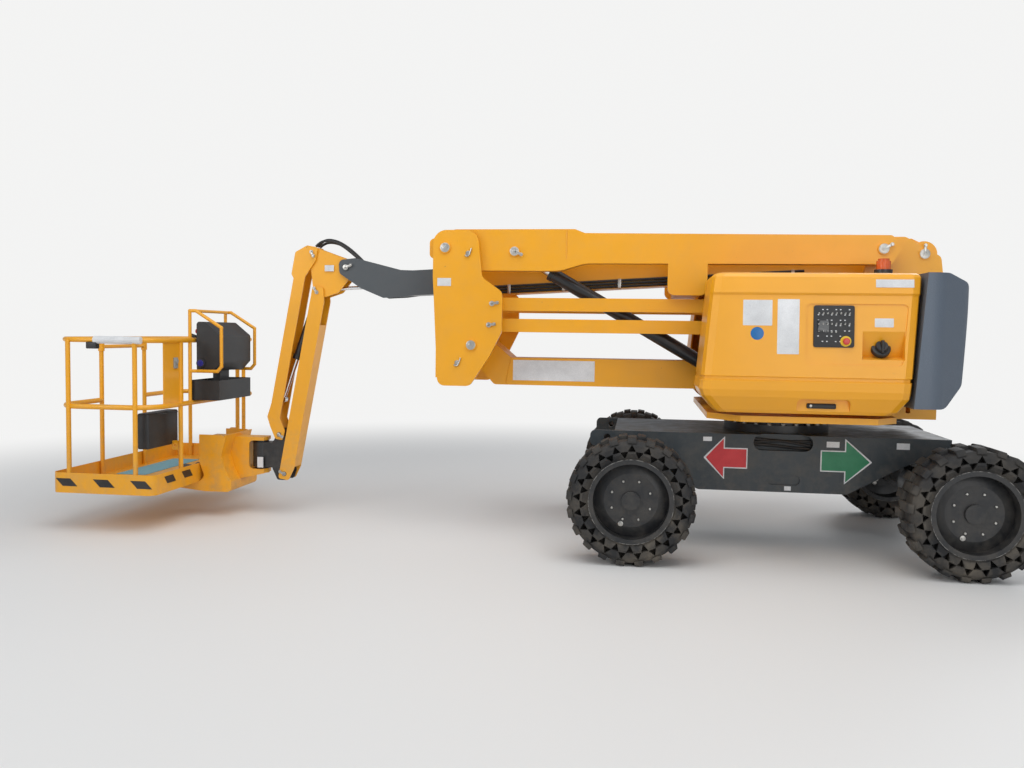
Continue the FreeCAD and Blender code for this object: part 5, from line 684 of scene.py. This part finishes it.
panel = side_plate(-0.055, -0.300, 1.430, 1.691, -0.004, 0.014, 0.003, 0.014)
finished("control_panel", [panel], black_plastic, "hood_left")
marks = []
for row in range(7):
    height = 1.665 - 0.033 * row
    for column in range(8):
        along = -0.078 - 0.0265 * column
        if row > 4 and column > 5:
            continue
        if (row + column) % 3:
            marks.append(side_plate(along, along - 0.009, height - 0.003, height + 0.003, 0.0035, 0.0012, 0.0003))
finished("panel_marks", marks, white_film, "hood_left")
toggles = []
for column in range(8):
    spot = on_side(-0.085 - 0.0262 * column, 1.640, 0.003)
    for low in (0.0, -0.066, -0.115):
        if low < -0.1 and column > 4:
            continue
        root = spot + Vector((0, 0, low))
        toggles.append(bar(root, root + Vector((0, 0.011, 0.001)), 0.0052, 0.0015, sides=14))
        toggles.append(bar(root + Vector((0, 0.009, 0.001)), root + Vector((0, 0.024, 0.006)), 0.0026, 0.001, sides=10))
finished("panel_switches", toggles, zinc, "hood_left")
gauge = side_plate(-0.075, -0.150, 1.520, 1.600, 0.002, 0.008, 0.003, 0.006)
gauge_glass = plain("gauge_glass", (0.012, 0.014, 0.016, 1), 0.12, grain_scale=300.0, coat=0.6, relief=0.00005)
finished("panel_display", [gauge], gauge_glass, "hood_left")
yellow_film = plain("yellow_film", (0.80, 0.52, 0.02, 1), 0.4, dust=0.1, grain_scale=300.0, relief=0.00005)
red_plastic = plain("red_plastic", (0.55, 0.018, 0.012, 1), 0.28, dust=0.08, grain_scale=500.0, coat=0.3, relief=0.0001)
stop = on_side(-0.248, 1.469, 0.002)
finished("stop_plate", [bar(stop, stop + Vector((0, 0.004, 0)), 0.033, 0.001, sides=40)], yellow_film, "hood_left")
stem = bar(stop, stop + Vector((0, 0.020, 0)), 0.012, 0.001)
cap = bar(stop + Vector((0, 0.016, 0)), stop + Vector((0, 0.032, 0)), 0.021, 0.005, sides=36, steps=4)
finished("stop_button", [stem, cap], red_plastic, "hood_left")
knob_place = Vector((slew_x - 0.470, 1.034, 1.425))
lean = Vector((0, 0.80, 0.60)).normalized()
ring = bar(knob_place - lean * 0.02, knob_place + lean * 0.014, 0.058, 0.006, sides=40, steps=3)
knob = bar(knob_place + lean * 0.010, knob_place + lean * 0.040, 0.038, 0.008, sides=32, steps=3)
edit(knob, "FACE", lambda place, normal: normal.dot(lean) > 0.95)
bpy.ops.mesh.inset(thickness=0.012)
bpy.ops.transform.translate(value=tuple(-lean * 0.004))
done()
bow = block((slew_x - 0.478, 1.052, 1.400), (slew_x - 0.462, 1.092, 1.480), 0.006, 3)
finished("latch_knob", [ring, knob, bow], black_plastic, "hood_left")
handle = block((slew_x - 0.213, 1.030, 1.043), (slew_x - 0.034, 1.052, 1.076), 0.009, 4)
edit(handle, "FACE", lambda place, normal: normal.y > 0.95)
bpy.ops.mesh.inset(thickness=0.007)
bpy.ops.transform.translate(value=(0, -0.005, 0))
done()
finished("hood_handle", [handle], black_plastic, "hood_left")
lock = Vector((slew_x - 0.058, 1.046, 1.060))
finished("handle_lock", [bar(lock, lock + Vector((0, 0.006, 0)), 0.009, 0.002)], zinc, "hood_left")

# Blank vinyl labels on the left hood and one round blue one.
signs = [
    # front, rear, bottom, top
    (0.375, 0.196, 1.561, 1.722), (0.164, 0.031, 1.384, 1.728), (-0.421, -0.533, 1.559, 1.614),
]
finished("hood_labels", [side_plate(front, rear, low, high, -0.0070 if rear < -0.3 else 0.0002, 0.0016, 0.0004, 0.004)
                         for front, rear, low, high in signs], white_film, "hood_left")
blue_film = plain("blue_film", (0.010, 0.150, 0.42, 1), 0.34, dust=0.1, grain_scale=300.0, relief=0.00005)
disc = on_side(0.286, 1.511, -0.0005)
finished("round_label", [bar(disc, disc + Vector((0, 0.0016, 0.0001)), 0.041, 0.0004, sides=48)], blue_film, "hood_left")
strip = block((slew_x - 0.645, 0, -0.025), (slew_x - 0.420, 0.0016, 0.025), 0.0004, 1)
strip.matrix_world = Matrix.Translation((0, 1.0630, 1.829)) @ Matrix.Rotation(math.atan2(0.011, 0.100), 4, "X")
finished("top_label", [settle(strip)], white_film, "hood_left")

# Beacon: an orange lens with upright ribs on a black base, screwed to the crown.
lens_shell = bpy.data.materials.new("beacon_lens")
lens_shell.use_nodes = True
tree = lens_shell.node_tree
place = node(tree, "ShaderNodeTexCoord")
split = node(tree, "ShaderNodeSeparateXYZ", Vector=place.outputs["Object"])
around = math_node(tree, "ARCTAN2", math_node(tree, "SUBTRACT", split.outputs["Y"], 0.640),
                   math_node(tree, "SUBTRACT", split.outputs["X"], slew_x - 0.567))
ribs = math_node(tree, "SINE", math_node(tree, "MULTIPLY", around, 32.0))
above = spread(tree, split.outputs["Z"], 1.9438, 1.9442)
speck = node(tree, "ShaderNodeTexNoise", Vector=place.outputs["Object"], Scale=60.0, Detail=4.0)
glow_tint = mixed(tree, speck.outputs["Fac"], (0.62, 0.085, 0.006, 1), (0.80, 0.150, 0.012, 1))
tint = mixed(tree, above, (0.016, 0.016, 0.018, 1), glow_tint)
bump = node(tree, "ShaderNodeBump", Strength=0.8, Distance=0.0012, Height=math_node(tree, "MULTIPLY", ribs, above))
surface = tree.nodes["Principled BSDF"]
tree.links.new(tint, surface.inputs["Base Color"])
tree.links.new(spread(tree, above, 0.0, 1.0, 0.5, 0.12), surface.inputs["Roughness"])
tree.links.new(bump.outputs["Normal"], surface.inputs["Normal"])
surface.inputs["Coat Weight"].default_value = 0.3
dress(["beacon"], lens_shell)

# Pins of the arms: turned steel pins with zinc plated ends and a grease nipple,
# each held by a keeper, a flat finger bolted to the plate beside the pin.
pin_ends = [
    # body, place along X, height, outer face Y, radius, keeper's direction in degrees, or None
    ("front_knuckle", 2.228, 1.400, 0.487, 0.040, None), ("front_knuckle", 2.426, 2.102, 0.487, 0.040, None),
    ("front_knuckle", 2.099, 1.548, 0.481, 0.022, 172), ("front_knuckle", 2.078, 1.702, 0.481, 0.022, 172),
    ("upper_arm", 1.926, 2.081, 0.432, 0.038, 205), ("rear_knuckle", -0.620, 2.102, 0.432, 0.040, 150),
    ("rear_knuckle", -0.968, 1.702, 0.361, 0.022, 90), ("rear_knuckle", -0.930, 2.081, 0.281, 0.040, 90),
    ("turret", -0.600, 1.400, 0.442, 0.040, 60), ("turret", -0.729, 1.548, 0.436, 0.022, 60),
    ("telescope", 3.301, 1.985, 0.101, 0.025, 160), ("jib_head", 3.542, 1.790, 0.082, 0.018, 60),
    ("jib_head", 3.586, 2.105, 0.082, 0.018, 240), ("jib_foot", 3.8106, 0.3407, 0.082, 0.018, 30),
    ("jib_foot", 3.8546, 0.6557, 0.082, 0.018, 210),
]
pin_parts = {}
for body, along, height, out, radius, finger in pin_ends:
    for side in (1, -1):
        face = Vector((slew_x + along, side * out, height))
        way = across * side
        made = pin_parts.setdefault(body, [])
        made.append(bar(face - way * 0.001, face + way * 0.003, radius * 0.86, 0.0012, sides=32))
        made.append(bar(face + way * 0.002, face + way * 0.009, radius * 0.42, 0.0015, sides=20))
        made.append(bar(face + way * 0.008, face + way * 0.016, radius * 0.16, 0.0012, sides=12))
        if finger is None:
            continue
        reach = radius + 0.030
        strap = block((-0.008, -0.009, 0.0), (reach, 0.009, 0.005), 0.0015)
        frame_turn = way.to_track_quat("Z", "X").to_matrix().to_4x4()
        ahead = Vector((math.cos(math.radians(finger)), 0, math.sin(math.radians(finger))))
        sideways = way.cross(ahead)
        spin = Matrix((ahead, sideways, way)).transposed().to_4x4()
        strap.matrix_world = Matrix.Translation(face + way * 0.004) @ spin
        made.append(settle(strap))
        made += bolts([face + ahead * (radius + 0.018) + way * 0.008], way, 0.8)
hooks = [
    # a bent rod that holds the main pins from turning: bolt along X, height, hook's end along X, height
    (2.257, 2.062, 2.232, 2.098), (2.330, 1.270, 2.304, 1.306),
]
for along, height, end_along, end_height in hooks:
    for side in (1, -1):
        face = 0.475 * side
        spots = [(slew_x + along + 0.020, face + side * 0.010, height - 0.012),
                 (slew_x + along + 0.016, face + side * 0.010, height - 0.022),
                 (slew_x + along - 0.002, face + side * 0.010, height - 0.026),
                 (slew_x + along - 0.014, face + side * 0.010, height - 0.006),
                 (slew_x + end_along, face + side * 0.010, end_height)]
        pin_parts["front_knuckle"].append(hose(spots, 0.0055))
        pin_parts["front_knuckle"] += bolts([(slew_x + along, face, height)], (0, side, 0), 1.2)
for body, made in pin_parts.items():
    finished("pin_ends_" + body, made, zinc, body, 30)

# Weld beads of the arms: MIG welds laid where plates meet boxes, painted over
# with the rest, so they only show as thin ridges.
bead_paint = painted("bead_paint", (0.84, 0.375, 0.010, 1), 0.5, 0.2, 0.42, 0.08)


def weld(start, end, size=0.0045):
    """A straight weld bead, its run cut into short steps."""
    start, end = Vector(start), Vector(end)
    steps = max(6, int((end - start).length / 0.012))
    piece = bar(start, end, size, sides=8)
    edit(piece, "EDGE", lambda place, line: abs(line.dot((end - start).normalized())) > 0.9)
    bpy.ops.mesh.subdivide(number_cuts=min(steps, 40))
    done()
    return piece


def both_sides(start, end):
    """The same run on the left and on the right."""
    return [((start[0], side * start[1], start[2]), (end[0], side * end[1], end[2])) for side in (1, -1)]


bead_runs = {
    "lower_arm": both_sides((slew_x + 1.98, 0.1505, 1.300), (slew_x + 2.02, 0.1505, 1.108))
    + both_sides((slew_x - 0.36, 0.1505, 1.300), (slew_x - 0.40, 0.1505, 1.108)),
    "upper_arm": both_sides((slew_x + 1.55, 0.4205, 2.235), (slew_x + 1.55, 0.4205, 2.030)),
}
for body, runs in bead_runs.items():
    finished("welds_" + body, [weld(start, end) for start, end in runs], bead_paint, body)

# Blank signs of the arms: adhesive vinyl, one long panel on the lower arm and
# small ones on the knuckle, the jib's head and the jib's foot.
arm_signs = [
    # name, body, low corner, high corner
    ("lower_arm_sign", "lower_arm", (1.346, 0.1498, 1.135), (1.963, 0.1514, 1.289)),
    ("knuckle_label", "front_knuckle", (2.381, 0.4748, 1.826), (2.482, 0.4764, 1.883)),
    ("jib_head_label", "jib_head", (3.405, 0.0700, 1.955), (3.480, 0.0718, 2.003)),
    ("rotator_label", "jib_foot", (3.985, 0.0818, 0.385), (4.035, 0.0834, 0.470)),
]
for name, body, low, high in arm_signs:
    sheet = block((slew_x + low[0], low[1], low[2]), (slew_x + high[0], high[1], high[2]), 0.0004, 1)
    finished(name, [sheet], white_film, body)

# Hydraulic hoses: black rubber hoses clipped along the lower edge of the boom,
# and three short arched hoses over the jib's head.
boom_drop = -0.0577
hose_start, hose_end = -0.15, 2.50


def boom_edge(along):
    """Height of the boom's lower edge."""
    return 1.7560 + (2.56 - along) * 0.0577


boom_hoses = []
for rise, out in ((0.014, 0.127), (0.036, 0.127), (0.058, 0.126)):
    spots = [(slew_x + hose_start + (hose_end - hose_start) * step / 6, out,
              boom_edge(hose_start + (hose_end - hose_start) * step / 6) + rise) for step in range(7)]
    boom_hoses.append(hose(spots, 0.0098))
finished("boom_hoses", boom_hoses, hose_rubber, "boom")
clips = []
for number in range(7):
    along = hose_start + 0.08 + number * (hose_end - hose_start - 0.16) / 6
    base = boom_edge(along)
    clips.append(block((slew_x + along - 0.012, 0.1148, base + 0.001), (slew_x + along + 0.012, 0.1395, base + 0.071), 0.003))
    clips += bolts([(slew_x + along, 0.1390, base + 0.047)], (0, 1, 0), 0.55)
finished("boom_clips", clips, zinc, "boom")
for number, (out, rise) in enumerate(((-0.045, 0.0), (0.0, 0.018), (0.045, 0.006))):
    loop = hose([(slew_x + 3.16, out, 2.010), (slew_x + 3.22, out, 2.055 + rise), (slew_x + 3.33, out, 2.150 + rise),
                 (slew_x + 3.44, out, 2.195 + rise), (slew_x + 3.52, out, 2.190 + rise), (slew_x + 3.56, out, 2.150)], 0.010, 10)
    loop = finished("head_hose_%d" % number, [loop], hose_rubber, "jib_head")

# Basket fittings: a white sleeve and a black bracket on the near rail, black
# warning dashes on the toe board, a socket, and the box under the cable plate.
basket_back = slew_x + 4.450
sleeve = bar((slew_x + 4.549, 0.896, 1.400), (slew_x + 4.912, 0.896, 1.400), 0.0275, 0.005, sides=32)
finished("rail_sleeve", [sleeve], white_film, "basket")
clamp = block((slew_x + 4.884, 0.872, 1.336), (slew_x + 4.964, 0.920, 1.384), 0.006)
finished("rail_bracket", [clamp], black_plastic, "basket")
black_film = plain("black_film", (0.014, 0.014, 0.015, 1), 0.42, dust=0.2, grain_scale=300.0, relief=0.00005)
dashes = []
for start in (5.045, 4.752, 4.462):
    dash = block((slew_x + start, 0.9148, 0.332), (slew_x + start + 0.115, 0.9164, 0.388), 0.0)
    edit(dash, "FACE", lambda place, normal: normal.z > 0.9)
    bpy.ops.transform.translate(value=(0.055, 0, 0))
    done()
    dashes.append(dash)
for start in (0.600, 0.345):
    dash = block((basket_back - 0.0014, start, 0.346), (basket_back + 0.0002, start + 0.125, 0.402), 0.0)
    edit(dash, "FACE", lambda place, normal: normal.z > 0.9)
    bpy.ops.transform.translate(value=(0, 0.045, 0))
    done()
    dashes.append(dash)
finished("toe_board_dashes", dashes, black_film, "basket")
socket_base = block((basket_back + 0.005, 0.545, 1.190), (basket_back + 0.0168, 0.600, 1.272), 0.004)
socket_lid = bar((basket_back - 0.004, 0.5725, 1.245), (basket_back + 0.008, 0.5725, 1.245), 0.019, 0.003)
finished("plate_socket", [socket_base, socket_lid], grey_film, "basket")
case = block((slew_x + 4.535, 0.405, 0.605), (slew_x + 4.625, 0.830, 0.868), 0.012, 3)
straps = [block((slew_x + 4.462, out, 0.858), (slew_x + 4.560, out + 0.030, 0.866), 0.002) for out in (0.54, 0.70)]
finished("manual_case", [case] + straps, black_plastic, "basket")
blue_plastic = plain("blue_plastic", (0.008, 0.012, 0.22, 1), 0.35, dust=0.05, grain_scale=400.0)
boot = Vector((slew_x + 4.392, 0.309, 1.222))
finished("console_socket_ring", [bar(boot, boot + across * 0.016, 0.036, 0.004, sides=32)], black_plastic, "basket")
finished("console_socket", [bar(boot + across * 0.012, boot + across * 0.024, 0.026, 0.006, sides=32, steps=3)], blue_plastic,
         "basket")

# Platform controls: a black cast face turned to the operator, with three
# joysticks in rubber boots, rows of switches, a red stop and a footswitch.
face_x = basket_back - 0.020
face = block((face_x - 0.004, -0.205, 1.190), (face_x + 0.010, 0.280, 1.500), 0.004)
finished("platform_face", [face], black_plastic, "basket")
marks = []
for row in range(5):
    for column in range(9):
        if (row * 2 + column) % 4:
            out = -0.165 + 0.050 * column
            marks.append(block((face_x + 0.0095, out, 1.230 + 0.056 * row), (face_x + 0.0112, out + 0.018, 1.236 + 0.056 * row), 0.0))
finished("platform_marks", marks, white_film, "basket")
switches = []
for column in range(7):
    for height in (1.225, 1.282):
        root = Vector((face_x + 0.010, -0.145 + 0.050 * column, height + 0.026))
        switches.append(bar(root, root + Vector((0.010, 0, 0)), 0.007, 0.002, sides=14))
        switches.append(bar(root + Vector((0.008, 0, 0)), root + Vector((0.028, 0, 0.006)), 0.0035, 0.001, sides=10))
finished("platform_switches", switches, zinc, "basket")
sticks = []
for out in (-0.120, 0.035, 0.190):
    root = Vector((face_x + 0.008, out, 1.415))
    for number in range(4):
        sticks.append(bar(root + Vector((0.006 * number, 0, 0)), root + Vector((0.006 * number + 0.006, 0, 0)),
                          0.030 - 0.005 * number, 0.002, sides=24))
    sticks.append(bar(root + Vector((0.020, 0, 0)), root + Vector((0.060, 0, 0.012)), 0.006, 0.001, sides=14))
    sticks.append(bar(root + Vector((0.056, 0, 0.010)), root + Vector((0.098, 0, 0.024)), 0.014, 0.005, sides=20, steps=3))
finished("platform_sticks", sticks, black_plastic, "basket")
stop = Vector((face_x + 0.009, 0.245, 1.470))
finished("platform_stop", [bar(stop, stop + Vector((0.018, 0, 0)), 0.009, 0.001),
                           bar(stop + Vector((0.014, 0, 0)), stop + Vector((0.028, 0, 0)), 0.018, 0.005, sides=28, steps=3)],
         red_plastic, "basket")
pedal_base = block((slew_x + 4.560, -0.085, 0.318), (slew_x + 4.760, 0.055, 0.330), 0.003)
pedal = block((slew_x + 4.575, -0.070, 0.338), (slew_x + 4.735, 0.040, 0.350), 0.003)
pedal.matrix_world = Matrix.Translation((slew_x + 4.575, 0, 0.338)) @ Matrix.Rotation(math.radians(-8), 4, "Y") \
    @ Matrix.Translation((-slew_x - 4.575, 0, -0.338))
hood_plate = block((slew_x + 4.560, -0.085, 0.328), (slew_x + 4.578, 0.055, 0.400), 0.004)
finished("footswitch", [pedal_base, settle(pedal), hood_plate], cast_iron, "basket")
mat_blue = plain("mat_blue", (0.20, 0.44, 0.52, 1), 0.75, dust=0.4, grain_scale=120.0, relief=0.001)
mat = block((slew_x + 4.900, -0.640, 0.3178), (slew_x + 5.150, 0.250, 0.3215), 0.001, 1)
edit(mat, "EDGE", lambda place, line: abs(line.z) > 0.9)
bpy.ops.mesh.bevel(offset=0.06, segments=5, affect="EDGES")
done()
finished("floor_mat", [mat], mat_blue, "basket")
bpy.data.objects.remove(hex_bolt)
